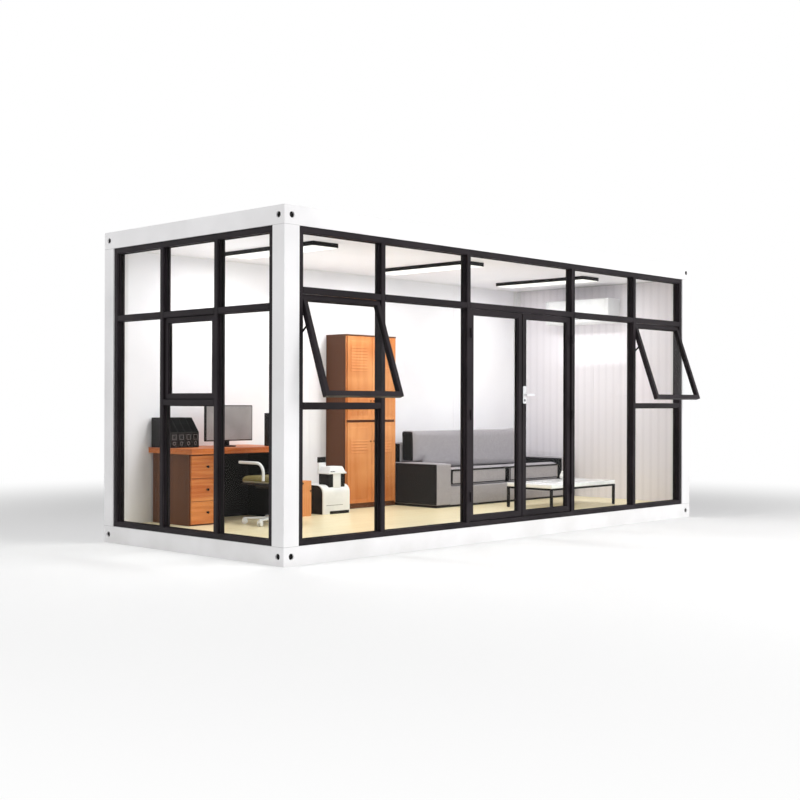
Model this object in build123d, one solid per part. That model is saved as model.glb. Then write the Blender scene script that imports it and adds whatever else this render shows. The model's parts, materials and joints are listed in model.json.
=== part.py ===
from build123d import *
import math
import os

# Prefabricated glazed house of the flat-pack cabin family, furnished as a small office. Millimetres.
# X runs along the long glazed front, Y from the front to the back and Z up.
# The origin is the middle of the plan, at the level of the ground.

# Overall size of the steel frame
house_length = 6055
house_width = 2435
house_height = 2790

# Steel frame
beam_height = 150
post_long = 157
post_short = 139
casting_wall = 12
casting_hole = 50

# Floor, roof and walls
pan_thickness = 3
joist_width = 50
joist_count = 9
board_thickness = 20
covering_thickness = 5
ceiling_rise = 5
ceiling_thickness = 20
roof_thickness = 80
roof_rib_width = 40
roof_rib_height = 20
roof_rib_pitch = 250
wall_thickness = 75
wall_panel_joint = 2
back_panel_count = 5
right_panel_count = 2

# Glazing bars, sashes and door leaves
glazing_recess = 12
bar_depth = 75
bar_face = 50
sill_face = 45
leaf_setback = 15
leaf_depth = 45
stile_face = 52
sash_face = 40
rail_face = 48
leaf_gap = 5
glass_thickness = 6

# Front glazing
door_opening = 1563
door_height = 1920
front_window_width = 880
front_window_height = 849

# End glazing
end_window_width = 688
end_window_height = 698
end_transom_level = 1986

# Open windows
sash_angle = 19.5
stay_width = 16
stay_drop = 250
stay_foot_drop = 330
stay_foot_inset = 20

# Doors
meeting_gap = 12
hinge_radius = 8
hinge_pin_radius = 4
hinge_clearance = 0.3
hinge_knuckle = 45
hinge_knuckle_gap = 1
hinge_plate = 3
hinge_plate_reach = 36
hinge_web = 6
hinge_end_distance = 220
handle_level = 1342
handle_plate_height = 165
handle_plate_width = 48
handle_plate_thickness = 6
handle_boss_radius = 9
handle_boss_clearance = 0.5
handle_spindle_radius = 5
handle_spindle_hole = 8
handle_reach = 40
handle_end_play = 0.3
lever_length = 120
lever_height = 20
lever_thickness = 10

# Ceiling lamps
lamp_count = 3
lamp_pitch = 2000
lamp_width = 300
lamp_length = 1200
lamp_housing_height = 37
lamp_rim = 10
lamp_diffuser_thickness = 3

# Air conditioner
cooler_width = 880
cooler_depth = 248
cooler_height = 283
cooler_front_distance = 765
cooler_drop = 170
cooler_round = 60

# Tall cabinet
cabinet_gap = 226
cabinet_width = 759
cabinet_depth = 308
cabinet_height = 1822
cabinet_door_thickness = 18
cabinet_door_gap = 4
cabinet_plinth = 55
cabinet_rail_level = 914
cabinet_rail_height = 26
cabinet_margin = 18

# Desk
desk_from_end = 335
desk_length = 1180
desk_depth = 650
desk_height = 692
desk_top_thickness = 50
desk_overhang = 62
pedestal_width = 390
pedestal_setback = 30
drawer_count = 3
drawer_front_thickness = 18
drawer_gap = 4
drawer_margin = 14
drawer_knob_radius = 12
drawer_knob_length = 22
desk_panel_thickness = 20
desk_panel_setback = 60

# Things on the desk
screen_from_desk_end = 352
screen_width = 560
screen_height = 335
screen_thickness = 30
screen_lift = 55
screen_from_wall = 400
screen_foot_width = 220
screen_foot_depth = 160
screen_foot_thickness = 12
screen_neck_width = 50
screen_neck_depth = 22
slim_computer_inset = 20
slim_computer_width = 110
slim_computer_depth = 65
slim_computer_height = 315
slim_computer_from_wall = 476
file_holder_count = 4
file_holder_pitch = 80
file_holder_width = 76
file_holder_depth = 300
file_holder_height = 275
file_holder_top_depth = 190
file_holder_front_height = 140
file_holder_wall = 3
file_holder_margin = 19

# Office chair
chair_from_desk_end = 698
chair_from_desk = 278
chair_seat_width = 420
chair_seat_depth = 460
chair_seat_level = 375
chair_seat_thickness = 65
chair_seat_round = 25
chair_plate_thickness = 12
chair_plate_width = 260
chair_column_radius = 25
chair_foot_radius = 260
chair_foot_count = 5
chair_foot_width = 34
chair_foot_height = 24
chair_hub_radius = 38
chair_wheel_radius = 27
chair_wheel_width = 40
chair_wheel_housing = 8
chair_back_width = 360
chair_back_height = 420
chair_back_thickness = 50
chair_back_level = 530
chair_spine_width = 60
chair_spine_thickness = 14
chair_arm_radius = 13
chair_arm_height = 190
chair_arm_length = 330
chair_arm_bend = 90

# Low cabinet and printer on the floor
low_cabinet_gap = 28
low_cabinet_width = 300
low_cabinet_depth = 340
low_cabinet_height = 345
low_cabinet_from_wall = 588
printer_gap = 160
printer_width = 370
printer_depth = 330
printer_height = 290
printer_round = 80
printer_cheek = 4
printer_neck_width = 234
printer_neck_height = 106
printer_scanner_width = 250
printer_scanner_depth = 170
printer_scanner_height = 74
printer_scanner_setback = 5
printer_scanner_shift = 20
printer_scanner_lip = 8
printer_feeder_width = 100
printer_feeder_depth = 22
printer_feeder_height = 92

# Sofa
sofa_cabinet_gap = 4
sofa_wall_gap = 43
sofa_depth = 829
sofa_post_gap = 5
sofa_arm_width = 242
sofa_arm_height = 467
sofa_base_height = 219
sofa_cushion_thickness = 200
sofa_cushion_count = 2
sofa_cushion_gap = 4
sofa_cushion_round = 18
sofa_cushion_fall = 50
sofa_rear_height = 672
sofa_rear_depth = 222
sofa_back_height = 822
sofa_back_thickness = 190
sofa_back_inset = 85
sofa_back_end_gap = 445
sofa_back_round = 30

# Coffee table and vase
table_off_middle = 25
table_from_glass = 393
table_length = 1176
table_width = 584
table_height = 262
table_top_thickness = 40
table_leg = 25
table_rim_height = 20
vase_radius = 36
vase_neck_radius = 17
vase_height = 92
vase_wall = 3
vase_from_end = 270
vase_from_edge = 78

# Limits of the frame and of the room
left, right = -house_length / 2, house_length / 2
front, back = -house_width / 2, house_width / 2
top = house_height
inner_left, inner_right = left + post_long, right - post_long
inner_front, inner_back = front + post_short, back - post_short
glazed_low, glazed_high = beam_height, house_height - beam_height
room_left = left + glazing_recess + bar_depth
room_front = front + glazing_recess + bar_depth
room_right = right - glazing_recess - wall_thickness
room_back = back - glazing_recess - wall_thickness
floor_level = beam_height + covering_thickness
ceiling_level = glazed_high + ceiling_rise


def block(x, y, z):
    """A box between a low and a high value on each axis."""
    size = Box(x[1] - x[0], y[1] - y[0], z[1] - z[0])
    return Pos((x[0] + x[1]) / 2, (y[0] + y[1]) / 2, (z[0] + z[1]) / 2) * size


def rod(radius, length, start, direction):
    """A round bar that begins at a point and runs in a direction."""
    return Plane(origin=start, z_dir=direction) * Cylinder(
        radius, length, align=(Align.CENTER, Align.CENTER, Align.MIN))


def evenly(low, high, count, gap):
    """Like spans that fill a length, with one gap between neighbours."""
    width = (high - low - gap * (count - 1)) / count
    return [(low + i * (width + gap), low + i * (width + gap) + width) for i in range(count)]


def inside(span, amount):
    """A span made shorter by the same amount at both ends."""
    return span[0] + amount, span[1] - amount


def front_bar(along, depth, z):
    """A bar of the front glazing, with its depth counted from the post face."""
    return block(along, (front + depth[0], front + depth[1]), z)


def end_bar(along, depth, z):
    """A bar of the end glazing, with its depth counted from the post face."""
    return block((left + depth[0], left + depth[1]), along, z)


def save(name, *solids):
    """Write one sub-part, which may hold several like solids."""
    shape = solids[0] if len(solids) == 1 else Compound(children=list(solids))
    export_step(shape, f"parts/{name}.step")


# Steel frame

corner_x = ((left, inner_left), (inner_right, right))
corner_y = ((front, inner_front), (inner_back, back))


def corner_posts():
    return [block(x, y, (glazed_low, glazed_high)) for x in corner_x for y in corner_y]


def casting(x, y, z, outward):
    """A hollow corner casting with a round hole in each outward wall."""
    middle = ((x[0] + x[1]) / 2, (y[0] + y[1]) / 2, (z[0] + z[1]) / 2)
    body = block(x, y, z) - block(inside(x, casting_wall), inside(y, casting_wall), inside(z, casting_wall))
    for direction in ((outward[0], 0, 0), (0, outward[1], 0), (0, 0, outward[2])):
        body -= rod(casting_hole / 2, max(post_long, post_short, beam_height), middle, direction)
    return body


def castings(z, up):
    return [casting(x, y, z, (-1 if x[0] == left else 1, -1 if y[0] == front else 1, up))
            for x in corner_x for y in corner_y]


def beams(z):
    """Two long beams and two end beams, from casting to casting."""
    long_beams = [block((inner_left, inner_right), y, z) for y in corner_y]
    return long_beams + [block(x, (inner_front, inner_back), z) for x in corner_x]


# Floor

board_low = beam_height - board_thickness


def floor_joists():
    span = inner_right - inner_left
    pitch = span / (joist_count + 1)
    places = [inner_left + pitch * (i + 1) for i in range(joist_count)]
    return [block((x - joist_width / 2, x + joist_width / 2), (inner_front, inner_back),
                  (pan_thickness, board_low)) for x in places]


def floor_covering():
    """The finished floor, cut out round the four posts."""
    sheet = block((room_left, room_right), (room_front, room_back), (beam_height, floor_level))
    for x in corner_x:
        for y in corner_y:
            sheet -= block(x, y, (glazed_low, glazed_high))
    return sheet


# Ceiling and roof

ceiling_top = ceiling_level + ceiling_thickness
roof_top = ceiling_top + roof_thickness


def roof_panel():
    """An insulated roof panel with raised ribs across the short way."""
    panel = block((inner_left, inner_right), (inner_front, inner_back), (ceiling_top, roof_top))
    half = roof_rib_width / 2
    count = int((inner_right - inner_left - roof_rib_width) / 2 / roof_rib_pitch)
    for i in range(-count, count + 1):
        x = i * roof_rib_pitch
        panel += block((x - half, x + half), (inner_front, inner_back), (roof_top, roof_top + roof_rib_height))
    return panel


# Solid walls of insulated panels

def back_wall():
    outer = back - glazing_recess
    spans = evenly(inner_left, inner_right, back_panel_count, wall_panel_joint)
    return [block(x, (outer - wall_thickness, outer), (glazed_low, glazed_high)) for x in spans]


def right_wall():
    outer = right - glazing_recess
    spans = evenly(inner_front, inner_back, right_panel_count, wall_panel_joint)
    return [block((outer - wall_thickness, outer), y, (glazed_low, glazed_high)) for y in spans]


# Fixed glazing: uprights, rails and panes

bar = (glazing_recess, glazing_recess + bar_depth)
pane_front = glazing_recess + (bar_depth - glass_thickness) / 2
pane = (pane_front, pane_front + glass_thickness)
sill_top = glazed_low + sill_face
head_low = glazed_high - bar_face
front_transom = (sill_top + door_height, sill_top + door_height + bar_face)
front_low_transom = (front_transom[0] - front_window_height - bar_face, front_transom[0] - front_window_height)
end_transom = (end_transom_level, end_transom_level + bar_face)
end_low_transom = (end_transom_level - end_window_height - bar_face, end_transom_level - end_window_height)

window_edge = inner_left + bar_face + front_window_width
front_left_spans = [(inner_left, inner_left + bar_face), (window_edge, window_edge + bar_face),
                    (-door_opening / 2 - bar_face, -door_opening / 2)]
front_spans = front_left_spans + [(-high, -low) for low, high in reversed(front_left_spans)]
front_columns = [(a[1], b[0]) for a, b in zip(front_spans, front_spans[1:])]
front_window_columns = (front_columns[0], front_columns[-1])
door_column = front_columns[len(front_columns) // 2]

half_window = end_window_width / 2
end_spans = [(inner_front, inner_front + bar_face), (-half_window - bar_face, -half_window),
             (half_window, half_window + bar_face), (inner_back - bar_face, inner_back)]
end_columns = [(a[1], b[0]) for a, b in zip(end_spans, end_spans[1:])]
end_window_column = end_columns[len(end_columns) // 2]


def uprights(make, spans):
    """Two jambs as tall as the opening, with the mullions between head and sill."""
    bars = [make(spans[0], bar, (glazed_low, glazed_high)), make(spans[-1], bar, (glazed_low, glazed_high))]
    return bars + [make(span, bar, (sill_top, head_low)) for span in spans[1:-1]]


def rails(make, columns, transom, low_transom, window_columns):
    """Head and sill from jamb to jamb, and transoms between the uprights."""
    whole = (columns[0][0], columns[-1][1])
    bars = [make(whole, bar, (glazed_low, sill_top)), make(whole, bar, (head_low, glazed_high))]
    bars += [make(column, bar, transom) for column in columns]
    return bars + [make(column, bar, low_transom) for column in window_columns]


def fixed_panes(make, columns, transom, low_transom, window_columns, open_columns):
    """A pane over each transom, and one below it unless a door is there."""
    panes = []
    for column in columns:
        panes.append(make(column, pane, (transom[1], head_low)))
        if column in window_columns:
            panes.append(make(column, pane, (sill_top, low_transom[0])))
        elif column not in open_columns:
            panes.append(make(column, pane, (sill_top, transom[0])))
    return panes


# Sashes of the top-hung windows

leaf_front = glazing_recess + leaf_setback
leaf = (leaf_front, leaf_front + leaf_depth)
leaf_glass_front = leaf_front + (leaf_depth - glass_thickness) / 2
leaf_glass = (leaf_glass_front, leaf_glass_front + glass_thickness)


def sash_frame(make, column, z):
    outer = make(inside(column, leaf_gap), leaf, inside(z, leaf_gap))
    opening = inside(column, leaf_gap + sash_face)
    return outer - make(opening, leaf, inside(z, leaf_gap + sash_face))


def sash_glass(make, column, z):
    return make(inside(column, leaf_gap + sash_face), leaf_glass, inside(z, leaf_gap + sash_face))


def swung(shape, z):
    """Turn a piece of a front window about its top front edge, as when it stands open."""
    hinge = Axis((0, front + leaf_front, z[1] - leaf_gap), (1, 0, 0))
    return shape.rotate(hinge, -sash_angle)


def stay(x, foot, head):
    """A flat stay in the gap beside a sash, between two points given as depth and height."""
    run = math.dist(foot, head)
    plane = Plane(origin=(x, foot[0], foot[1]), x_dir=(0, head[0] - foot[0], head[1] - foot[1]), z_dir=(1, 0, 0))
    return extrude(plane * Pos(run / 2, 0) * SlotCenterToCenter(run, stay_width), leaf_gap)


def front_stays(column, z):
    """The two stays that hold an open front window."""
    hinge_level = z[1] - leaf_gap
    foot = (front + bar[1] - stay_foot_inset, hinge_level - stay_foot_drop)
    angle = math.radians(sash_angle)
    reach = leaf_depth / 2 * math.cos(angle) - stay_drop * math.sin(angle)
    fall = leaf_depth / 2 * math.sin(angle) + stay_drop * math.cos(angle)
    head = (front + leaf_front + reach, hinge_level - fall)
    return [stay(column[0], foot, head), stay(column[1] - leaf_gap, foot, head)]


def end_stays(column, z):
    """The two stays of the shut end window, which lie upright beside it."""
    hinge_level = z[1] - leaf_gap
    x = (left + leaf_front + leaf_depth / 2 - stay_width / 2, left + leaf_front + leaf_depth / 2 + stay_width / 2)
    height = (hinge_level - stay_foot_drop, hinge_level - stay_drop)
    return [block(x, y, height) for y in ((column[0], column[0] + leaf_gap), (column[1] - leaf_gap, column[1]))]


# Double door

leaf_width = (door_opening - 2 * leaf_gap - meeting_gap) / 2
leaf_z = inside((sill_top, front_transom[0]), leaf_gap)
left_leaf_x = (door_column[0] + leaf_gap, door_column[0] + leaf_gap + leaf_width)
right_leaf_x = (door_column[1] - leaf_gap - leaf_width, door_column[1] - leaf_gap)
leaf_opening_z = inside(leaf_z, rail_face)
spindle_x = right_leaf_x[0] + stile_face / 2
hinge_depth = glazing_recess - hinge_radius
hinge_levels = [leaf_z[0] + hinge_end_distance, sum(leaf_z) / 2, leaf_z[1] - hinge_end_distance]
left_hinge_x = door_column[0] + leaf_gap / 2
right_hinge_x = door_column[1] - leaf_gap / 2


def door_frame(x):
    outer = front_bar(x, leaf, leaf_z)
    return outer - front_bar(inside(x, stile_face), leaf, leaf_opening_z)


def door_glass(x):
    return front_bar(inside(x, stile_face), leaf_glass, leaf_opening_z)


def fixed_hinge(x, level, side):
    """The lower knuckle with its pin, on a plate against the mullion. side points to the mullion."""
    axis = (x, front + hinge_depth)
    knuckle = rod(hinge_radius, hinge_knuckle, (*axis, level - hinge_knuckle), (0, 0, 1))
    pin_length = hinge_knuckle + hinge_knuckle_gap
    pin = rod(hinge_pin_radius, pin_length, (*axis, level), (0, 0, 1))
    span = sorted((x, x + side * hinge_plate_reach))
    plate = front_bar(span, (glazing_recess - hinge_plate, glazing_recess), (level - hinge_knuckle, level))
    return knuckle + plate + pin


def leaf_hinge(x, level, side):
    """The upper knuckle, cranked back to a plate on the door leaf. side points to the leaf."""
    low = level + hinge_knuckle_gap
    z = (low, low + hinge_knuckle)
    axis = (x, front + hinge_depth)
    knuckle = rod(hinge_radius, hinge_knuckle, (*axis, low), (0, 0, 1))
    web_edge = x + side * leaf_gap / 2
    web = front_bar(sorted((web_edge, web_edge + side * hinge_web)), (hinge_depth, leaf_front), z)
    plate_span = sorted((web_edge, web_edge + side * hinge_plate_reach))
    plate = front_bar(plate_span, (leaf_front - hinge_plate, leaf_front), z)
    bore = rod(hinge_pin_radius + hinge_clearance, hinge_knuckle, (*axis, low), (0, 0, 1))
    return knuckle + web + plate - bore


def handle_plate(depth):
    """A back plate for the lever, pierced for its boss."""
    half = handle_plate_width / 2
    z = (handle_level - handle_plate_height / 2, handle_level + handle_plate_height / 2)
    plate = front_bar((spindle_x - half, spindle_x + half), depth, z)
    start = (spindle_x, front + depth[0], handle_level)
    hole = rod(handle_boss_radius + handle_boss_clearance, handle_plate_thickness, start, (0, 1, 0))
    return fillet(plate.edges().filter_by(Axis.Y), handle_plate_width / 4) - hole


def door_lever():
    """Two levers on one spindle, one on each side of the leaf."""
    spindle_start = (spindle_x, front + leaf[0] - handle_reach, handle_level)
    shape = rod(handle_spindle_radius, leaf_depth + 2 * handle_reach, spindle_start, (0, 1, 0))
    boss_length = handle_reach - handle_end_play
    z = (handle_level - lever_height / 2, handle_level + lever_height / 2)
    x = (spindle_x - lever_height / 2, spindle_x - lever_height / 2 + lever_length)
    for depth, boss_depth in ((leaf[0] - handle_reach, leaf[0] - handle_reach),
                              (leaf[1] + handle_reach - lever_thickness, leaf[1] + handle_end_play)):
        shape += rod(handle_boss_radius, boss_length, (spindle_x, front + boss_depth, handle_level), (0, 1, 0))
        lever = front_bar(x, (depth, depth + lever_thickness), z)
        shape += fillet(lever.edges().filter_by(Axis.Y), lever_height / 2 - 1)
    return shape


def pierced_door_frame():
    """The right leaf's frame, with a hole for the spindle."""
    start = (spindle_x, front + leaf[0], handle_level)
    return door_frame(right_leaf_x) - rod(handle_spindle_hole, leaf_depth, start, (0, 1, 0))


# Ceiling lamps and air conditioner

lamp_places = [lamp_pitch * (i - (lamp_count - 1) / 2) for i in range(lamp_count)]
lamp_low = ceiling_level - lamp_housing_height


def lamp_housings():
    return [block((x - lamp_width / 2, x + lamp_width / 2), (-lamp_length / 2, lamp_length / 2),
                  (lamp_low, ceiling_level)) for x in lamp_places]


def lamp_diffusers():
    half_width = lamp_width / 2 - lamp_rim
    half_length = lamp_length / 2 - lamp_rim
    return [block((x - half_width, x + half_width), (-half_length, half_length),
                  (lamp_low - lamp_diffuser_thickness, lamp_low)) for x in lamp_places]


def air_conditioner():
    """The indoor unit high on the right wall, rounded where its front meets its underside."""
    y = (room_front + cooler_front_distance, room_front + cooler_front_distance + cooler_width)
    z = (ceiling_level - cooler_drop - cooler_height, ceiling_level - cooler_drop)
    body = block((room_right - cooler_depth, room_right), y, z)
    edge = body.edges().filter_by(Axis.Y).sort_by(Axis.X)[:2].sort_by(Axis.Z)[0]
    return fillet(edge, cooler_round)


# The row of furniture along the back wall, each piece placed beside the last

desk_x = (room_left + desk_from_end, room_left + desk_from_end + desk_length)
low_cabinet_x = (desk_x[1] + low_cabinet_gap, desk_x[1] + low_cabinet_gap + low_cabinet_width)
printer_x = (low_cabinet_x[1] + printer_gap, low_cabinet_x[1] + printer_gap + printer_width)
cabinet_x = (printer_x[1] + cabinet_gap, printer_x[1] + cabinet_gap + cabinet_width)
sofa_x = (cabinet_x[1] + sofa_cabinet_gap, room_right - sofa_wall_gap)


# Tall cabinet

cabinet_top = floor_level + cabinet_height
cabinet_body_front = room_back - cabinet_depth + cabinet_door_thickness


def cabinet_body():
    return block(cabinet_x, (cabinet_body_front, room_back), (floor_level, cabinet_top))


def cabinet_doors():
    """Two tall doors over two others, with a rail showing between them."""
    rail = floor_level + cabinet_rail_level
    levels = ((floor_level + cabinet_plinth, rail - cabinet_rail_height / 2),
              (rail + cabinet_rail_height / 2, cabinet_top - cabinet_margin))
    y = (cabinet_body_front - cabinet_door_thickness, cabinet_body_front)
    spans = evenly(*inside(cabinet_x, cabinet_margin), 2, cabinet_door_gap)
    return [block(x, y, z) for x in spans for z in levels]


# Desk

desk_front = room_back - desk_depth
desk_top_level = floor_level + desk_height
desk_under = desk_top_level - desk_top_thickness
pedestal_front = desk_front + desk_overhang + drawer_front_thickness
pedestal_x = (desk_x[0] + pedestal_setback, desk_x[0] + pedestal_setback + pedestal_width)


def desk_top():
    return block(desk_x, (desk_front, room_back), (desk_under, desk_top_level))


def desk_pedestal():
    return block(pedestal_x, (pedestal_front, room_back - pedestal_setback), (floor_level, desk_under))


def desk_panels():
    """The end panel, with a low modesty panel back to the pedestal."""
    end_x = (desk_x[1] - pedestal_setback - desk_panel_thickness, desk_x[1] - pedestal_setback)
    end = block(end_x, (pedestal_front, room_back - pedestal_setback), (floor_level, desk_under))
    y = room_back - desk_panel_setback
    screen = block((pedestal_x[1], end_x[0]), (y - desk_panel_thickness, y), (floor_level, desk_under))
    return end + screen


def desk_drawers():
    """Drawer fronts with round knobs, one above the other."""
    fronts = []
    x = inside(pedestal_x, drawer_margin)
    levels = evenly(floor_level + drawer_margin, desk_under - drawer_margin, drawer_count, drawer_gap)
    for z in levels:
        board = block(x, (pedestal_front - drawer_front_thickness, pedestal_front), z)
        start = (sum(x) / 2, pedestal_front - drawer_front_thickness - drawer_knob_length, sum(z) / 2)
        fronts.append(board + rod(drawer_knob_radius, drawer_knob_length, start, (0, 1, 0)))
    return fronts


# Things on the desk

def screen():
    """A flat screen on a neck and a foot."""
    middle = desk_x[0] + screen_from_desk_end + screen_width / 2
    y = room_back - screen_from_wall
    low = desk_top_level + screen_lift
    panel = block((middle - screen_width / 2, middle + screen_width / 2), (y, y + screen_thickness),
                  (low, low + screen_height))
    neck_y = (y + screen_thickness, y + screen_thickness + screen_neck_depth)
    neck = block((middle - screen_neck_width / 2, middle + screen_neck_width / 2), neck_y,
                 (desk_top_level, low + screen_height / 2))
    foot_y = sum(neck_y) / 2
    foot = block((middle - screen_foot_width / 2, middle + screen_foot_width / 2),
                 (foot_y - screen_foot_depth / 2, foot_y + screen_foot_depth / 2),
                 (desk_top_level, desk_top_level + screen_foot_thickness))
    return panel + neck + foot


def slim_computer():
    x = desk_x[1] - slim_computer_inset - slim_computer_width
    y = room_back - slim_computer_from_wall
    return block((x, x + slim_computer_width), (y, y + slim_computer_depth),
                 (desk_top_level, desk_top_level + slim_computer_height))


def file_holder(x):
    """An open-topped upright file holder with a slanted front."""
    rear = room_back - file_holder_margin
    near = rear - file_holder_depth
    outline = [(near, 0), (rear, 0), (rear, file_holder_height),
               (rear - file_holder_top_depth, file_holder_height), (near, file_holder_front_height)]
    points = [(x, y, desk_top_level + z) for y, z in outline]
    shell = extrude(make_face(Polyline(*points, close=True)), file_holder_width, dir=(1, 0, 0))
    room = block(inside((x, x + file_holder_width), file_holder_wall), inside((near, rear), file_holder_wall),
                 (desk_top_level + file_holder_wall, desk_top_level + file_holder_height))
    return shell - room


def file_holders():
    start = desk_x[0] + file_holder_margin
    return [file_holder(start + i * file_holder_pitch) for i in range(file_holder_count)]


# Office chair

chair_x = desk_x[0] + chair_from_desk_end
chair_y = desk_front - chair_from_desk
seat_under = floor_level + chair_seat_level
seat_x = (chair_x - chair_seat_width / 2, chair_x + chair_seat_width / 2)
seat_y = (chair_y - chair_seat_depth / 2, chair_y + chair_seat_depth / 2)
spine_y = (seat_y[0] - chair_spine_thickness, seat_y[0])
back_low = floor_level + chair_back_level


def chair_frame():
    """Star foot with wheels, column, seat plate and the spine that carries the back."""
    foot_low = floor_level + 2 * chair_wheel_radius - chair_wheel_housing
    frame = rod(chair_hub_radius, chair_foot_height, (chair_x, chair_y, foot_low), (0, 0, 1))
    for i in range(chair_foot_count):
        turn = Pos(chair_x, chair_y, foot_low) * Rot(0, 0, 60 + i * 360 / chair_foot_count)
        arm = Pos(chair_foot_radius / 2, 0, chair_foot_height / 2) * Box(
            chair_foot_radius, chair_foot_width, chair_foot_height)
        wheel_level = chair_wheel_housing - chair_wheel_radius
        wheel = Pos(chair_foot_radius - chair_wheel_radius / 2, 0, wheel_level) * Rot(90, 0, 0) * Cylinder(
            chair_wheel_radius, chair_wheel_width)
        frame += turn * (arm + wheel)
    plate_low = seat_under - chair_plate_thickness
    frame += rod(chair_column_radius, plate_low - foot_low, (chair_x, chair_y, foot_low), (0, 0, 1))
    half = chair_plate_width / 2
    frame += block((chair_x - half, chair_x + half), (spine_y[0], chair_y + half), (plate_low, seat_under))
    spine_x = (chair_x - chair_spine_width / 2, chair_x + chair_spine_width / 2)
    return frame + block(spine_x, spine_y, (plate_low, back_low + chair_back_height / 2))


def chair_seat():
    pad = block(seat_x, seat_y, (seat_under, seat_under + chair_seat_thickness))
    return fillet(pad.edges().filter_by(Axis.Z) + pad.edges().group_by(Axis.Z)[-1], chair_seat_round)


def chair_back():
    x = (chair_x - chair_back_width / 2, chair_x + chair_back_width / 2)
    y = (seat_y[0], seat_y[0] + chair_back_thickness)
    pad = block(x, y, (back_low, back_low + chair_back_height))
    return fillet(pad.edges().filter_by(Axis.Y), chair_seat_round)


def chair_arm(x):
    """A bent tube that rises beside the seat and runs forward."""
    low = seat_under + chair_seat_thickness / 2
    high = seat_under + chair_arm_height
    rear = seat_y[0] + chair_arm_bend
    points = [(x, rear, low), (x, rear, high), (x, rear + chair_arm_length, high)]
    path = FilletPolyline(*points, radius=chair_arm_bend)
    section = Plane(origin=points[0], z_dir=(0, 0, 1)) * Circle(chair_arm_radius)
    return sweep(section, path=path)


def chair_arms():
    return [chair_arm(seat_x[0] - chair_arm_radius), chair_arm(seat_x[1] + chair_arm_radius)]


# Low cabinet and printer

def low_cabinet():
    y = room_back - low_cabinet_from_wall
    return block(low_cabinet_x, (y, y + low_cabinet_depth), (floor_level, floor_level + low_cabinet_height))


printer_front = room_back - low_cabinet_from_wall
printer_y = (printer_front, printer_front + printer_depth)
printer_top = floor_level + printer_height
scanner_middle = sum(printer_x) / 2 + printer_scanner_shift
scanner_y = (printer_y[0] + printer_scanner_setback, printer_y[0] + printer_scanner_setback + printer_scanner_depth)
scanner_low = printer_top + printer_neck_height


def round_front(body):
    """Round the edge where the front of the printer meets its top."""
    edge = body.edges().filter_by(Axis.X).group_by(Axis.Z)[-1].sort_by(Axis.Y)[0]
    return fillet(edge, printer_round)


def printer_body():
    """The rounded body, with the neck that carries the scanner."""
    body = round_front(block(inside(printer_x, printer_cheek), printer_y, (floor_level, printer_top)))
    neck_x = (scanner_middle - printer_neck_width / 2, scanner_middle + printer_neck_width / 2)
    neck_y = inside(scanner_y, printer_scanner_lip)
    return body + block(neck_x, neck_y, (printer_top - printer_round, scanner_low))


def printer_cheeks():
    """The two dark side covers of the printer."""
    low, high = printer_x
    cheeks = []
    for x in ((low, low + printer_cheek), (high - printer_cheek, high)):
        cheeks.append(round_front(block(x, printer_y, (floor_level, printer_top))))
    return cheeks


def printer_scanner():
    """The deck, with the paper feeder that stands at its back."""
    x = (scanner_middle - printer_scanner_width / 2, scanner_middle + printer_scanner_width / 2)
    deck_top = scanner_low + printer_scanner_height
    deck = block(x, scanner_y, (scanner_low, deck_top))
    return deck + block((x[0], x[0] + printer_feeder_width), (scanner_y[1] - printer_feeder_depth, scanner_y[1]),
                        (scanner_low, deck_top + printer_feeder_height))


# Sofa

sofa_y = (inner_back - sofa_post_gap - sofa_depth, inner_back - sofa_post_gap)
sofa_seat_x = inside(sofa_x, sofa_arm_width)
sofa_rear_front = sofa_y[1] - sofa_rear_depth
sofa_base_top = floor_level + sofa_base_height
sofa_seat_top = sofa_base_top + sofa_cushion_thickness
sofa_arm_top = floor_level + sofa_arm_height
sofa_back_end = sofa_x[1] - sofa_back_end_gap
sofa_cushion_depth = sofa_rear_front - sofa_cushion_gap - sofa_y[0]


def sofa_body():
    """Base, two arms and the rear frame."""
    body = block(sofa_x, sofa_y, (floor_level, sofa_base_top))
    for x in ((sofa_x[0], sofa_seat_x[0]), (sofa_seat_x[1], sofa_x[1])):
        body += block(x, sofa_y, (floor_level, sofa_arm_top))
    rear_y = (sofa_rear_front, sofa_y[1])
    body += block(sofa_x, rear_y, (floor_level, sofa_arm_top))
    tall_x = (sofa_x[0] + sofa_back_inset, sofa_back_end)
    return body + block(tall_x, rear_y, (floor_level, floor_level + sofa_rear_height))


def sofa_cushions():
    """The seat cushions, side by side between the arms, which fall a little towards the rear."""
    cushions = []
    rear = sofa_y[0] + sofa_cushion_depth
    for x in evenly(*inside(sofa_seat_x, sofa_cushion_gap), sofa_cushion_count, sofa_cushion_gap):
        outline = [(sofa_y[0], sofa_base_top), (rear, sofa_base_top), (rear, sofa_seat_top - sofa_cushion_fall),
                   (sofa_y[0], sofa_seat_top)]
        points = [(x[0], y, z) for y, z in outline]
        cushion = extrude(make_face(Polyline(*points, close=True)), x[1] - x[0], dir=(1, 0, 0))
        cushions.append(fillet(cushion.edges().group_by(Axis.Z)[-1], sofa_cushion_round))
    return cushions


def sofa_back():
    """The tall back cushion, which reaches over the left arm and ends short of the right one."""
    y = (sofa_rear_front - sofa_back_thickness, sofa_rear_front)
    seat_level = sofa_seat_top - sofa_cushion_fall * (y[0] - sofa_y[0]) / sofa_cushion_depth
    between = block((sofa_seat_x[0] + sofa_cushion_gap, sofa_back_end), y, (seat_level, sofa_arm_top))
    above = block((sofa_x[0] + sofa_back_inset, sofa_back_end), y, (sofa_arm_top, floor_level + sofa_back_height))
    return between + fillet(above.edges().group_by(Axis.Z)[-1], sofa_back_round)


# Coffee table and vase

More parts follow.
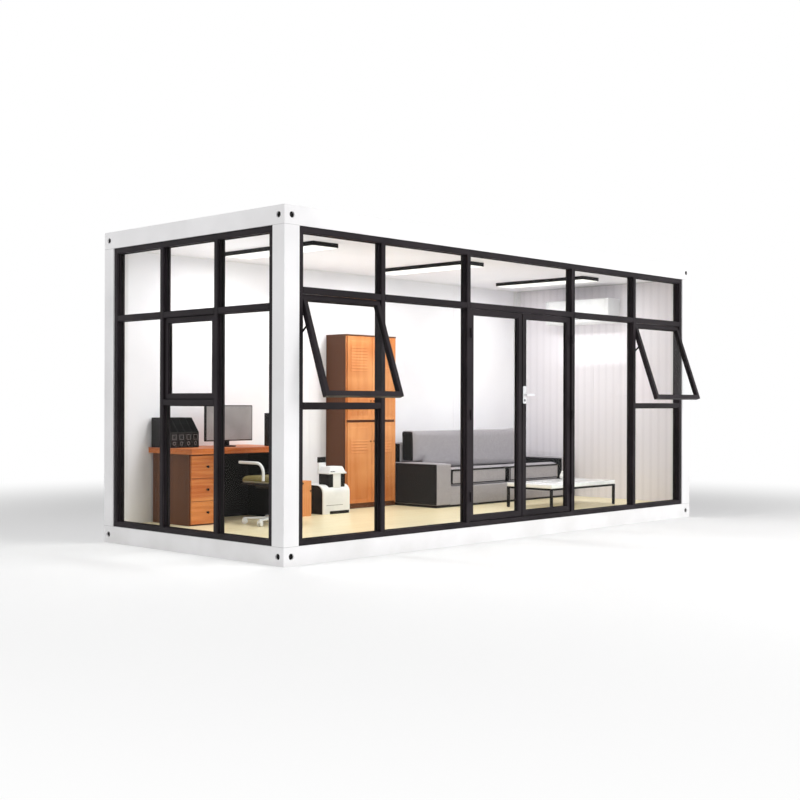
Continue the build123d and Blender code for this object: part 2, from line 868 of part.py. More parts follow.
table_middle = sum(sofa_x) / 2 + table_off_middle
table_x = (table_middle - table_length / 2, table_middle + table_length / 2)
table_y = (room_front + table_from_glass, room_front + table_from_glass + table_width)
table_top_level = floor_level + table_height
table_under = table_top_level - table_top_thickness


def table_top():
    return block(table_x, table_y, (table_under, table_top_level))


def table_frame():
    """Four square legs under a slim rim."""
    rim_z = (table_under - table_rim_height, table_under)
    frame = block(table_x, table_y, rim_z)
    frame -= block(inside(table_x, table_leg), inside(table_y, table_leg), rim_z)
    for x in (table_x[0], table_x[1] - table_leg):
        for y in (table_y[0], table_y[1] - table_leg):
            frame += block((x, x + table_leg), (y, y + table_leg), (floor_level, table_under))
    return frame


def vase():
    """A small round vase, hollow and open at the top."""
    x = table_x[1] - vase_from_end
    y = table_y[1] - vase_from_edge
    middle = vase_height / 3
    outer = [(0, 0), (vase_neck_radius, 0), (vase_radius, middle), (vase_neck_radius, vase_height)]
    inner = [(vase_neck_radius - vase_wall, vase_height), (vase_radius - vase_wall, middle),
             (vase_neck_radius - vase_wall, vase_wall), (0, vase_wall)]
    points = [(r, 0, z) for r, z in outer + inner]
    return Pos(x, y, table_top_level) * revolve(make_face(Polyline(*points, close=True)), Axis.Z)


os.makedirs("parts", exist_ok=True)
low_z, high_z = (0, beam_height), (glazed_high, top)
front_window_z = (front_low_transom[1], front_transom[0])
end_window_z = (end_low_transom[1], end_transom[0])
left_column, right_column = front_window_columns

save("corner_posts", *corner_posts())
save("corner_castings", *castings(low_z, -1), *castings(high_z, 1))
save("floor_beams", *beams(low_z))
save("roof_beams", *beams(high_z))

save("floor_pan", block((inner_left, inner_right), (inner_front, inner_back), (0, pan_thickness)))
save("floor_joists", *floor_joists())
save("floor_board", block((inner_left, inner_right), (inner_front, inner_back), (board_low, beam_height)))
save("floor_covering", floor_covering())
save("ceiling_panel", block((inner_left, inner_right), (inner_front, inner_back), (ceiling_level, ceiling_top)))
save("roof_panel", roof_panel())
save("back_wall", *back_wall())
save("right_wall", *right_wall())

save("front_uprights", *uprights(front_bar, front_spans))
save("front_rails", *rails(front_bar, front_columns, front_transom, front_low_transom, front_window_columns))
save("front_glass", *fixed_panes(front_bar, front_columns, front_transom, front_low_transom,
                                 front_window_columns, (door_column,)))
save("end_uprights", *uprights(end_bar, end_spans))
save("end_rails", *rails(end_bar, end_columns, end_transom, end_low_transom, (end_window_column,)))
save("end_glass", *fixed_panes(end_bar, end_columns, end_transom, end_low_transom, (end_window_column,), ()))

save("left_window_sash", swung(sash_frame(front_bar, left_column, front_window_z), front_window_z))
save("right_window_sash", swung(sash_frame(front_bar, right_column, front_window_z), front_window_z))
save("end_window_sash", sash_frame(end_bar, end_window_column, end_window_z))
save("window_glass", swung(sash_glass(front_bar, left_column, front_window_z), front_window_z),
     swung(sash_glass(front_bar, right_column, front_window_z), front_window_z),
     sash_glass(end_bar, end_window_column, end_window_z))
save("window_stays", *front_stays(left_column, front_window_z), *front_stays(right_column, front_window_z),
     *end_stays(end_window_column, end_window_z))

save("left_door_frame", door_frame(left_leaf_x))
save("left_door_glass", door_glass(left_leaf_x))
save("right_door_frame", pierced_door_frame())
save("right_door_glass", door_glass(right_leaf_x))
save("door_hinge_pins", *[fixed_hinge(left_hinge_x, z, -1) for z in hinge_levels],
     *[fixed_hinge(right_hinge_x, z, 1) for z in hinge_levels])
save("left_door_hinges", *[leaf_hinge(left_hinge_x, z, 1) for z in hinge_levels])
save("right_door_hinges", *[leaf_hinge(right_hinge_x, z, -1) for z in hinge_levels])
save("door_handle_plates", handle_plate((leaf[0] - handle_plate_thickness, leaf[0])),
     handle_plate((leaf[1], leaf[1] + handle_plate_thickness)))
save("door_lever", door_lever())

save("lamp_housings", *lamp_housings())
save("lamp_diffusers", *lamp_diffusers())
save("air_conditioner", air_conditioner())
save("cabinet_body", cabinet_body())
save("cabinet_doors", *cabinet_doors())
save("desk_top", desk_top())
save("desk_pedestal", desk_pedestal())
save("desk_panels", desk_panels())
save("desk_drawers", *desk_drawers())
save("desk_screen", screen())
save("slim_computer", slim_computer())
save("file_holders", *file_holders())
save("chair_frame", chair_frame())
save("chair_seat", chair_seat())
save("chair_back", chair_back())
save("chair_arms", *chair_arms())
save("low_cabinet", low_cabinet())
save("printer_body", printer_body())
save("printer_cheeks", *printer_cheeks())
save("printer_scanner", printer_scanner())
save("sofa_body", sofa_body())
save("sofa_back", sofa_back())
save("sofa_cushions", *sofa_cushions())
save("coffee_table_top", table_top())
save("coffee_table_frame", table_frame())
save("vase", vase())
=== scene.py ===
# %% [markdown]
# This lesson dresses a prefabricated glazed house, furnished as a small office. The steel frame,
# glazing bars, walls and plain furniture come from the measured model, in metres, so nothing is
# fitted by eye: each new piece is placed from a node's own box or from the same sizes.

# %% Load the measured model
import json
import math

import bpy
from mathutils import Matrix, Vector


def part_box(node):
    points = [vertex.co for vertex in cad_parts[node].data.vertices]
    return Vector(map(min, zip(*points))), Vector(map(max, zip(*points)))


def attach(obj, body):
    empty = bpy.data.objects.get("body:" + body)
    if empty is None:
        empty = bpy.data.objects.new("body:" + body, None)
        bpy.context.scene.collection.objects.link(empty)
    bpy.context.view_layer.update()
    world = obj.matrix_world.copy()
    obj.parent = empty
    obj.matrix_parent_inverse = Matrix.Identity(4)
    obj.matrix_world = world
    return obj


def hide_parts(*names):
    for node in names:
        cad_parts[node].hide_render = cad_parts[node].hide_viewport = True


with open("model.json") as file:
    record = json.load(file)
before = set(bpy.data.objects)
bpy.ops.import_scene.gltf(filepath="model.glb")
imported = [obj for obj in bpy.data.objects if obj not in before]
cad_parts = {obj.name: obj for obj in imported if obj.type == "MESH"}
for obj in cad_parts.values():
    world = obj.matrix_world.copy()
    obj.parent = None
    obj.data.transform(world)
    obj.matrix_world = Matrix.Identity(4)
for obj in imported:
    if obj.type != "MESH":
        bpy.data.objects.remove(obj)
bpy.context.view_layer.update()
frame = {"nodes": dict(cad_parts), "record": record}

# %% [markdown]
# A photograph is matched by standing where the photographer stood. The eye is near one corner,
# at about the height of a seated person, and looks level, so uprights stay upright. The picture
# was cut a little off its middle, which a small sideways shift of the lens repeats.

# %% Camera
EYE = Vector((-9.3302, -8.2919, 1.2684))
YAW, PITCH, ROLL = 0.7974, 0.0018, 0.0026
LENS, SIDE_SHIFT = 55.5, 0.0375

ahead = Vector((math.sin(YAW) * math.cos(PITCH), math.cos(YAW) * math.cos(PITCH), math.sin(PITCH)))
level = Vector((math.cos(YAW), -math.sin(YAW), 0))
upward = level.cross(ahead)
across = level * math.cos(ROLL) + upward * math.sin(ROLL)
upright = upward * math.cos(ROLL) - level * math.sin(ROLL)

bpy.ops.object.select_all(action="DESELECT")
bpy.ops.object.camera_add(location=EYE)
camera = bpy.context.object
camera.data.lens, camera.data.shift_x = LENS, SIDE_SHIFT
camera.rotation_euler = Matrix((across, upright, -ahead)).transposed().to_euler()
bpy.context.scene.camera = camera
bpy.context.scene.view_settings.view_transform = "Standard"
print("camera at", tuple(round(v, 2) for v in EYE), "lens", LENS)

# %% [markdown]
# Shader maths reads best as sums. This small class wraps one socket, so that 1 - mask adds its
# own Math node, and a single method makes every other kind of node.

# %% Shader sums


class Signal:
    """One output socket in a material, which can be added, scaled and compared."""

    def __init__(self, tree, socket):
        self.tree, self.socket = tree, socket

    def node(self, kind, settings=None, inputs=None, output=0):
        """Add a node, set it up, fill its sockets and give back one of its outputs."""
        made = self.tree.nodes.new("ShaderNode" + kind)
        for name, value in (settings or {}).items():
            if name == "stops":
                for i, (at, colour) in enumerate(value):
                    ramp = made.color_ramp.elements
                    stop = ramp[i] if i < 2 else ramp.new(at)
                    stop.position, stop.color = at, colour
            else:
                setattr(made, name, value)
        for name, value in (inputs or {}).items():
            if isinstance(value, Signal):
                self.tree.links.new(value.socket, made.inputs[name])
            else:
                made.inputs[name].default_value = value
        return Signal(self.tree, made.outputs[output])

    def math(self, operation, *values):
        return self.node("Math", {"operation": operation}, dict(enumerate(values)))

    def __add__(self, other):
        return self.math("ADD", self, other)

    def __sub__(self, other):
        return self.math("SUBTRACT", self, other)

    def __rsub__(self, other):
        return self.math("SUBTRACT", other, self)

    def __mul__(self, other):
        return self.math("MULTIPLY", self, other)

    def __lt__(self, other):
        return self.math("LESS_THAN", self, other)

    def __gt__(self, other):
        return self.math("GREATER_THAN", self, other)

    __radd__, __rmul__ = __add__, __mul__


def srgb(red, green, blue):
    """A colour as a screen shows it, turned into light."""
    parts = [c / 255 for c in (red, green, blue)]
    return tuple(((c + 0.055) / 1.055) ** 2.4 if c > 0.04045 else c / 12.92 for c in parts) + (1.0,)


def surface(name, roughness=0.5, **sockets):
    """A new material: gives it back with its shader and the place on the piece."""
    material = bpy.data.materials.new(name)
    material.use_nodes = True
    tree = material.node_tree
    tree.nodes.clear()
    end = tree.nodes.new("ShaderNodeOutputMaterial")
    shader = tree.nodes.new("ShaderNodeBsdfPrincipled")
    tree.links.new(shader.outputs[0], end.inputs["Surface"])
    shader.inputs["Roughness"].default_value = roughness
    for socket, value in sockets.items():
        shader.inputs[socket.replace("_", " ")].default_value = value
    place = Signal(tree, tree.nodes.new("ShaderNodeTexCoord").outputs["Object"])
    return material, shader, place


def feed(shader, **signals):
    """Link signals to the shader's sockets."""
    for socket, signal in signals.items():
        signal.tree.links.new(signal.socket, shader.inputs[socket.replace("_", " ")])


def noise(place, scale, detail=3.0, roughness=0.5, stretch=(1, 1, 1)):
    """Cloudy values round one half, stretched along the axes if asked."""
    if stretch != (1, 1, 1):
        place = place.node("Mapping", {}, {"Vector": place, "Scale": stretch})
    wanted = {"Vector": place, "Scale": scale, "Detail": detail, "Roughness": roughness}
    return place.node("TexNoise", {}, wanted)


def mixed(first, second, factor):
    """One colour turning into another."""
    return factor.node("Mix", {"data_type": "RGBA"}, {0: factor, 6: first, 7: second}, 2)


def ramp(signal, low, high):
    """Zero below low, one above high and smooth between."""
    wanted = {"Value": signal, "From Min": low, "From Max": high}
    return signal.node("MapRange", {"interpolation_type": "SMOOTHSTEP"}, wanted)


def relief(height, depth, strength=1.0):
    """A normal that makes a height look raised, with depth in metres."""
    return height.node("Bump", {}, {"Height": height, "Distance": depth, "Strength": strength})


def along(place, axis):
    """One coordinate of the place: 0 for X, 1 for Y and 2 for Z."""
    return place.node("SeparateXYZ", {}, {"Vector": place}, axis)


def blend_shaders(tree, factor, first, second, finish):
    """Mix two shader nodes by a factor and link the result to a socket."""
    choice = tree.nodes.new("ShaderNodeMixShader")
    for source, socket in ((factor.socket, choice.inputs[0]), (first.outputs[0], choice.inputs[1]),
                           (second.outputs[0], choice.inputs[2]), (choice.outputs[0], finish)):
        tree.links.new(source, socket)


def seen_rays(tree):
    """One for rays that show the backdrop itself, and zero for rays that carry its light."""
    rays = tree.nodes.new("ShaderNodeLightPath")
    seen = Signal(tree, rays.outputs["Is Camera Ray"]) + Signal(tree, rays.outputs["Is Glossy Ray"])
    return seen.math("MINIMUM", seen + Signal(tree, rays.outputs["Is Transmission Ray"]), 1.0)


def groove(position, pitch, width):
    """One in a thin line at every step of a pitch, and zero elsewhere."""
    step = position.math("PINGPONG", position, pitch / 2)
    return step < width / 2


finishes = {}
print("shader tools ready")

# %% [markdown]
# Painted steel is never one flat white: the coat pools and thins, dulls the gloss in soft clouds
# and gathers a little grey near the ground. A fine seam shows where each corner casting is
# welded to its post and beams. All of it is worked out from the place on the steel. The skin of
# the solid walls is a shade warmer. On the right wall its colour carries painted shade along
# upright lines, standing for the ribs of a rolled skin, which are not modelled.

# %% Painted steel and panels
material, shader, place = surface("painted_steel", Specular_IOR_Level=0.4)
clouds = noise(place, 1.7, 4)
fine = noise(place, 240, 2)
height = along(place, 2)
low_dust = 1 - ramp(height, 0.02, 0.5)
post_edge = place.math("ABSOLUTE", along(place, 0))
seams = (place.math("ABSOLUTE", height - 0.15) < 0.0016) + (place.math("ABSOLUTE", height - 2.64) < 0.0016)
seams = seams * (post_edge > 2.8705)
white = mixed(srgb(240, 239, 240), srgb(232, 231, 232), ramp(clouds, 0.35, 0.7))
white = mixed(white, srgb(214, 212, 206), low_dust * ramp(clouds, 0.3, 0.8) * 0.35)
white = mixed(white, srgb(176, 176, 176), seams * 0.8)
feed(shader, Base_Color=white, Roughness=0.34 + clouds * 0.2, Normal=relief(fine + seams * -3.0, 0.0004, 0.5))
finishes["white_steel"] = material

material, shader, place = surface("panel_skin", Specular_IOR_Level=0.35)
clouds = noise(place, 0.9, 3)
skin = mixed(srgb(247, 245, 248), srgb(239, 236, 241), ramp(clouds, 0.3, 0.75))
feed(shader, Base_Color=skin, Roughness=0.42 + clouds * 0.14, Normal=relief(noise(place, 60, 2), 0.0006, 0.35))
finishes["white_panel"] = material

material, shader, place = surface("rib_shaded_skin", Specular_IOR_Level=0.4)
clouds = noise(place, 0.9, 3)
across_ribs = along(place, 1) * (math.tau / 0.1)
ribs = across_ribs.math("SINE", across_ribs) * 0.5 + 0.5
# Painted shade: the skin's colour darkens along upright rib lines, while the panel itself is flat.
skin = mixed(srgb(243, 238, 243), srgb(236, 231, 236), ramp(ribs, 0.45, 1.0) * (0.55 + clouds * 0.5))
feed(shader, Base_Color=skin, Roughness=0.36 + clouds * 0.14, Normal=relief(noise(place, 60, 2), 0.0006, 0.35))
finishes["rib_shaded_skin"] = material

material, shader, place = surface("zinc_coat", Metallic=0.85)
wanted = {"Vector": place, "Scale": 46.0}
spangle = place.node("TexVoronoi", {"feature": "F1"}, wanted, 1)
zinc = mixed(srgb(150, 154, 158), srgb(190, 193, 196), spangle.node("RGBToBW", {}, {"Color": spangle}))
feed(shader, Base_Color=zinc, Roughness=0.38 + noise(place, 5, 3) * 0.2)
finishes["galvanised_steel"] = material

material, shader, place = surface("cement_board", roughness=0.9)
grain = noise(place, 35, 6, 0.7)
feed(shader, Base_Color=mixed(srgb(158, 154, 146), srgb(186, 182, 174), grain), Normal=relief(grain, 0.0015))
finishes["fibre_cement"] = material

material, shader, place = surface("dark_aluminium", Specular_IOR_Level=0.16)
powder = noise(place, 900, 2)
wear = noise(place, 2.3, 4)
dark = mixed(srgb(40, 34, 38), srgb(28, 24, 27), ramp(wear, 0.3, 0.7))
feed(shader, Base_Color=dark, Roughness=0.36 + wear * 0.22, Normal=relief(powder, 0.0002, 0.6))
finishes["dark_aluminium"] = material
print("frame finishes", sorted(finishes))

# %% [markdown]
# Window glass is nearly all clearness, with a thin mirror on top that grows towards the edge of
# sight. Mixing a clear shader with a glossy one gives that, and lets daylight in without the
# noise of bent light. The Facing value is used, because it is the same on both faces of a pane,
# where a Fresnel node would turn the far face into a full mirror. Faint smears vary the mirror.

# %% Glass
material = bpy.data.materials.new("clear_glass")
material.use_nodes = True
tree = material.node_tree
tree.nodes.clear()
end = tree.nodes.new("ShaderNodeOutputMaterial")
clear = tree.nodes.new("ShaderNodeBsdfTransparent")
clear.inputs["Color"].default_value = (0.975, 0.985, 0.98, 1)
mirror = tree.nodes.new("ShaderNodeBsdfGlossy")
mirror.inputs["Roughness"].default_value = 0.03
place = Signal(tree, tree.nodes.new("ShaderNodeTexCoord").outputs["Object"])
facing = place.node("LayerWeight", {}, {"Blend": 0.5}, 1)
smears = noise(place, 1.4, 4, 0.6, (1, 1, 0.3))
factor = (0.004 + place.math("POWER", facing, 5.0) * 0.5) * (0.6 + smears * 0.6)
blend_shaders(tree, factor, clear, mirror, end.inputs["Surface"])
finishes["glass"] = material
print("glass ready")

# %% [markdown]
# Metals and plastics differ in what breaks up their shine: brushing on a handle, a faint
# orange-peel on moulded plastic, a soft sheen on lacquer. One maker takes the two shades, the
# grain and the gloss, and the scale of each is that of the real finish.

# %% Metals, plastics and lacquers


def plain_finish(slot, light, dark, gloss, grain=300, depth=0.0002, stretch=(1, 1, 1), **sockets):
    """A hard finish with cloudy colour, uneven gloss and a fine grain."""
    made, its_shader, at = surface(slot + "_finish", **sockets)
    patches = noise(at, 6, 4)
    texture = noise(at, grain, 2, 0.5, stretch)
    colour = mixed(srgb(*light), srgb(*dark), ramp(patches, 0.3, 0.72))
    feed(its_shader, Base_Color=colour, Roughness=gloss + patches * 0.16 + texture * 0.05,
         Normal=relief(texture, depth, 0.6))
    finishes[slot] = made


plain_finish("bright_steel", (134, 136, 140), (106, 108, 112), 0.3, stretch=(1, 1, 0.05), Metallic=0.8)
plain_finish("handle_metal", (236, 236, 238), (214, 214, 218), 0.2, stretch=(0.05, 1, 1), Metallic=0.35)
plain_finish("black_metal", (17, 16, 17), (9, 9, 10), 0.42, 420, Specular_IOR_Level=0.2)
plain_finish("white_plastic", (240, 240, 240), (228, 228, 230), 0.34, 700, 0.0001)
plain_finish("black_plastic", (28, 26, 26), (16, 15, 16), 0.42, 800, 0.0002, Specular_IOR_Level=0.25)
plain_finish("screen_grey", (150, 144, 144), (132, 127, 128), 0.44, 900, 0.0001)
plain_finish("white_lacquer", (250, 250, 250), (243, 243, 245), 0.16, 40, 0.0001, Coat_Weight=0.4)
plain_finish("white_glaze", (248, 247, 243), (238, 236, 230), 0.1, 30, 0.0003, Coat_Weight=0.8)

material, shader, place = surface("lamp_cover", roughness=0.6, Emission_Strength=0.6)
frost = noise(place, 260, 2)
glow = mixed(srgb(255, 253, 248), srgb(247, 246, 243), ramp(noise(place, 3, 2), 0.3, 0.7))
feed(shader, Base_Color=glow, Emission_Color=glow, Normal=relief(frost, 0.0003, 0.4))
finishes["lamp_white"] = material
print("hard finishes", len(finishes))

# %% [markdown]
# Wood-print board shows long wavy grain with darker pores along it. Noise stretched along the
# grain bends a wave pattern, so the rings wander as real ones do. Each board says which way its
# grain runs. The floor uses the same grain, cut into boards by thin dark joints.

# %% Wood


def grain_pattern(place, direction, scale=1.0):
    """Wavy rings and fine pores along one axis, as two signals."""
    stretch = [9.0 * scale] * 3
    stretch[direction] = 0.9 * scale
    ranks = place.node("Mapping", {}, {"Vector": place, "Scale": stretch})
    wanted = {"Vector": ranks, "Scale": 1.3, "Distortion": 5.0, "Detail": 3.0, "Detail Scale": 1.4}
    rings = place.node("TexWave", {"wave_type": "RINGS", "rings_direction": "XYZ"[direction]}, wanted, 1)
    pore_stretch = [110 * scale] * 3
    pore_stretch[direction] = 4 * scale
    return rings, noise(place, 3, 3, 0.6, tuple(pore_stretch))


def wood_finish(name, light, middle, dark, direction, figure=0.6, cloud=(1.0, 1.0, 1.0), coat=0.15):
    """Wood-print board: wavy figure, fine pores and broad clouds stretched as asked."""
    made, its_shader, at = surface(name + "_board", Coat_Weight=coat, Coat_Roughness=0.3,
                                   Specular_IOR_Level=0.1 + coat)
    rings, pores = grain_pattern(at, direction)
    broad = ramp(noise(at, 1.6, 3, 0.5, cloud), 0.3, 0.7)
    colour = mixed(srgb(*light), srgb(*middle), (broad * (1 - figure) + ramp(rings, 0.1, 0.9) * figure))
    colour = mixed(colour, srgb(*dark), ramp(pores, 0.56, 0.8) * 0.3)
    feed(its_shader, Base_Color=colour, Roughness=0.36 + pores * 0.2, Normal=relief(pores, 0.0003, 0.4))
    finishes[name] = made


wood_finish("brown_wood", (108, 68, 44), (88, 53, 34), (60, 36, 22), 2, 0.35, (1.0, 1.0, 0.3), 0.08)
wood_finish("orange_wood", (228, 160, 104), (196, 116, 60), (160, 82, 38), 2, 0.2, (0.5, 1.0, 1.6))
wood_finish("orange_bands", (226, 148, 84), (184, 92, 40), (140, 62, 26), 0, 0.25, (0.7, 1.0, 5.0))
wood_finish("desk_wood", (208, 120, 58), (162, 74, 28), (116, 50, 20), 0, 0.3, (0.7, 1.0, 5.0))
# A near-black board, used as painted shade for the desk's kneehole panels.
wood_finish("kneehole_shade_board", (22, 20, 19), (15, 13, 13), (9, 8, 8), 2, 0.3, coat=0.02)

BOARD_WIDTH, BOARD_LENGTH = 0.19, 1.21
material, shader, place = surface("floor_boards", Coat_Weight=0.1)
row = place.math("FLOOR", along(place, 1) * (1 / BOARD_WIDTH))
shifted = along(place, 0) + row * 0.437
board = place.math("FLOOR", shifted * (1 / BOARD_LENGTH))
tone = place.node("TexWhiteNoise", {"noise_dimensions": "2D"},
                  {"Vector": place.node("CombineXYZ", {}, {"X": board, "Y": row})}, 0)
rings, pores = grain_pattern(place, 0, 1.6)
cream = mixed(srgb(250, 240, 204), srgb(243, 226, 180), ramp(rings, 0.2, 0.9) * 0.7)
cream = mixed(cream, srgb(236, 214, 164), tone * 0.3 + ramp(pores, 0.55, 0.8) * 0.3)
joints = place.math("MAXIMUM", groove(along(place, 1), BOARD_WIDTH, 0.0022), groove(shifted, BOARD_LENGTH, 0.0022))
cream = mixed(cream, srgb(176, 150, 104), joints * 0.7)
feed(shader, Base_Color=cream, Roughness=0.3 + pores * 0.15, Normal=relief(joints * -1.0, 0.0008, 0.6))
finishes["floor_wood"] = material
print("wood finishes ready")

# %% [markdown]
# Upholstery is woven: threads cross, over and under, about every millimetre. Two fine waves at
# right angles make the weave, a coarser noise makes the slubs, and a little sheen catches the
# light at the edges, as fibres do.

# %% Fabrics


def fabric_finish(slot, light, dark, thread=0.0016, gloss=0.85, lower=None, painted_left_shade=False):
    """Woven cloth. lower is a height under which it is a beige band. The last flag paints a near-black shade on
    faces turned to the left.
    """
    made, its_shader, at = surface(slot + "_cloth", Sheen_Weight=0.1, Sheen_Roughness=0.5, Specular_IOR_Level=0.15)
    pitch = math.tau / thread
    waves = [at.math("SINE", along(at, axis) * pitch) for axis in range(3)]
    weave = waves[0] * waves[1] + waves[1] * waves[2] + waves[0] * waves[2]
    slubs = noise(at, 55, 4, 0.6)
    colour = mixed(srgb(*light), srgb(*dark), ramp(slubs, 0.3, 0.72))
    colour = mixed(colour, srgb(*[0.72 * c for c in dark]), ramp(weave, 0.4, 1.6) * 0.35)
    if lower is not None:
        colour = mixed(colour, srgb(206, 196, 170), along(at, 2) < lower)
    # Painted shade: faces turned to the left, towards -X, go near black.
    if painted_left_shade:
        leftward = along(at.node("TexCoord", output=1), 0) * -1
        colour = mixed(colour, srgb(30, 30, 33), ramp(leftward, 0.72, 0.86))
    feed(its_shader, Base_Color=colour, Roughness=gloss + slubs * 0.1,
         Normal=relief(weave + slubs * 2, 0.0006, 0.5))
    finishes[slot] = made


# The sofa's grey cloth gets painted shade on the faces that turn to the left.
fabric_finish("grey_fabric", (170, 165, 170), (158, 153, 158), painted_left_shade=True)
# A pale cloth, used as a painted highlight along the top of the sofa back.
fabric_finish("highlight_cord", (226, 222, 226), (210, 206, 210))
fabric_finish("black_fabric", (30, 29, 30), (18, 17, 18))
fabric_finish("olive_fabric", (132, 120, 70), (108, 98, 54), lower=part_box("chair_seat")[0].z + 0.02)

# The desk's panels get the near-black board, painted shade that makes the kneehole read dark.
OTHER_LOOKS = {"desk_top": "desk_wood", "desk_panels": "kneehole_shade_board", "window_stays": "black_metal"}
for part in frame["record"]["subparts"]:
    mesh = frame["nodes"][part["node"]].data
    mesh.materials.clear()
    mesh.materials.append(finishes[OTHER_LOOKS.get(part["node"], part["material_slot"])])
print("dressed", len(frame["nodes"]), "nodes in", len(finishes), "finishes")

# %% [markdown]
# The stage is a pale floor under a white sky. The floor keeps the shadow near the house and
# turns plain white far away, by its distance from the house, so no horizon cuts the picture.
# One broad lamp lights the front and one the left end. Three lamps under the ceiling light the
# room, and four weak ones look up, so that the ceiling is bright on the left and dimmer beyond.

# %% Stage and light
SKY_LIGHT = 0.45
FLOOR_FADE = (3.9, 9.5)
bpy.ops.object.select_all(action="DESELECT")
bpy.ops.mesh.primitive_circle_add(vertices=96, radius=60, fill_type="NGON", location=(0, 0, 0))
floor = bpy.context.object
floor.name = "studio_floor"
material = bpy.data.materials.new("studio_floor")
material.use_nodes = True
tree = material.node_tree
shader = tree.nodes["Principled BSDF"]
shader.inputs["Base Color"].default_value = (0.88, 0.88, 0.88, 1)
shader.inputs["Roughness"].default_value = 0.9
shader.inputs["Specular IOR Level"].default_value = 0.1
glow = tree.nodes.new("ShaderNodeEmission")
place = Signal(tree, tree.nodes.new("ShaderNodeTexCoord").outputs["Object"])
distance = place.node("VectorMath", {"operation": "LENGTH"}, {0: place}, 1)
far = ramp(distance, *FLOOR_FADE) * seen_rays(tree)
blend_shaders(tree, far, shader, glow, tree.nodes["Material Output"].inputs["Surface"])
floor.data.materials.append(material)

world = bpy.data.worlds.new("studio")
bpy.context.scene.world = world
world.use_nodes = True
tree = world.node_tree
soft = tree.nodes["Background"]
soft.inputs["Strength"].default_value = SKY_LIGHT
plain = tree.nodes.new("ShaderNodeBackground")
for background in (soft, plain):
    background.inputs["Color"].default_value = (1, 1, 1, 1)
blend_shaders(tree, seen_rays(tree), soft, plain, tree.nodes["World Output"].inputs["Surface"])


def soft_lamp(name, place_at, target, size, power, height_size=None):
    """A large soft lamp that points at a target and isn't seen itself."""
    bpy.ops.object.select_all(action="DESELECT")
    bpy.ops.object.light_add(type="AREA", location=place_at)
    lamp = bpy.context.object
    lamp.name = name
    lamp.data.shape, lamp.data.size = "RECTANGLE", size
    lamp.data.size_y = height_size or size
    lamp.data.energy = power
    lamp.rotation_euler = (Vector(target) - Vector(place_at)).to_track_quat("-Z", "Y").to_euler()
    lamp.visible_camera = lamp.visible_glossy = False
    return lamp


soft_lamp("front_lamp", (1.8, -10, 5), (0, 0, 1.2), 7, 720)
soft_lamp("end_lamp", (-6.5, 0, 9), (-3.0, 0, 1.2), 4, 360)
for i, (x, power) in enumerate(((-2.0, 21), (0.0, 20), (2.0, 13))):
    soft_lamp(f"room_lamp_{i}", (x, 0, 2.59), (x, 0, 0), 0.28, power, 1.15)
for i, (x, power) in enumerate(((-2.4, 5.5), (-0.8, 4.5), (0.8, 3.5), (2.4, 2))):
    upward = soft_lamp(f"ceiling_glow_{i}", (x, 0, 1.7), (x, 0, 3), 1.0, power)
    upward.data.color = (0.92, 0.96, 1.0)
print("stage and lamps ready")

# %% [markdown]
# Most pieces start as a cube or a circle, shaped in edit mode. The helpers below keep one habit:
# deselect everything, work on one object, leave it at the origin with its place in its mesh.

# %% Modelling tools


def alone(piece):
    """Select only this piece."""
    bpy.ops.object.select_all(action="DESELECT")
    piece.select_set(True)
    bpy.context.view_layer.objects.active = piece


def settle(piece):
    """Put the piece's place, turn and size into its mesh."""
    alone(piece)
    bpy.ops.object.transform_apply(location=True, rotation=True, scale=True)
    return piece


def block(low, high):
    """A box between two corners."""
    low, high = Vector(low), Vector(high)
    bpy.ops.object.select_all(action="DESELECT")
    bpy.ops.mesh.primitive_cube_add(size=1, location=(low + high) / 2)
    piece = bpy.context.object
    piece.scale = high - low
    return settle(piece)


def disc(radius, length, middle, axis="Z", sides=24):
    """A round bar along an axis."""
    bpy.ops.object.select_all(action="DESELECT")
    turn = {"X": (0, math.pi / 2, 0), "Y": (math.pi / 2, 0, 0), "Z": (0, 0, 0)}[axis]
    bpy.ops.mesh.primitive_cylinder_add(vertices=sides, radius=radius, depth=length, location=middle, rotation=turn)
    return settle(bpy.context.object)


def pick_faces(piece, test):
    """Open the piece in edit mode with the faces selected whose middle and normal pass a test."""
    alone(piece)
    bpy.ops.object.mode_set(mode="EDIT")
    bpy.ops.mesh.select_mode(type="FACE")
    bpy.ops.mesh.select_all(action="DESELECT")
    bpy.ops.object.mode_set(mode="OBJECT")
    for face in piece.data.polygons:
        face.select = bool(test(face.center, face.normal))
    bpy.ops.object.mode_set(mode="EDIT")


def close_edit():
    bpy.ops.object.mode_set(mode="OBJECT")


def modify(piece, kind, **settings):
    """Add a modifier and apply it at once."""
    alone(piece)
    change = piece.modifiers.new(kind.title(), kind)
    for name, value in settings.items():
        setattr(change, name, value)
    bpy.ops.object.modifier_apply(modifier=change.name)
    return piece


def rounded(piece, width, segments=2, angle=30):
    """Bevel the sharp edges."""
    return modify(piece, "BEVEL", width=width, segments=segments, limit_method="ANGLE",
                  angle_limit=math.radians(angle))


def soft_block(low, high, width, segments=2):
    """A box with softened edges."""
    return rounded(block(low, high), width, segments)


def sunk(piece, direction, border, depth):
    """Inset the faces that look one way, and push them in."""
    way = Vector(direction)
    pick_faces(piece, lambda middle, normal: normal.dot(way) > 0.9)
    bpy.ops.mesh.inset(thickness=border, depth=0)
    bpy.ops.transform.translate(value=-way * depth)
    close_edit()
    return piece


def ring(low, high, axis, border, rail=None):
    """A frame: a box pierced through along an axis. Its rails may differ from its stiles."""
    piece = block(low, high)
    pick_faces(piece, lambda middle, normal: abs(normal[axis]) > 0.9)
    bpy.ops.mesh.inset(thickness=border, depth=0)
    if rail is not None:
        tall = high[2] - low[2]
        bpy.ops.transform.resize(value=(1, 1, (tall - 2 * rail) / (tall - 2 * border)))
    bpy.ops.mesh.bridge_edge_loops()
    close_edit()
    return piece


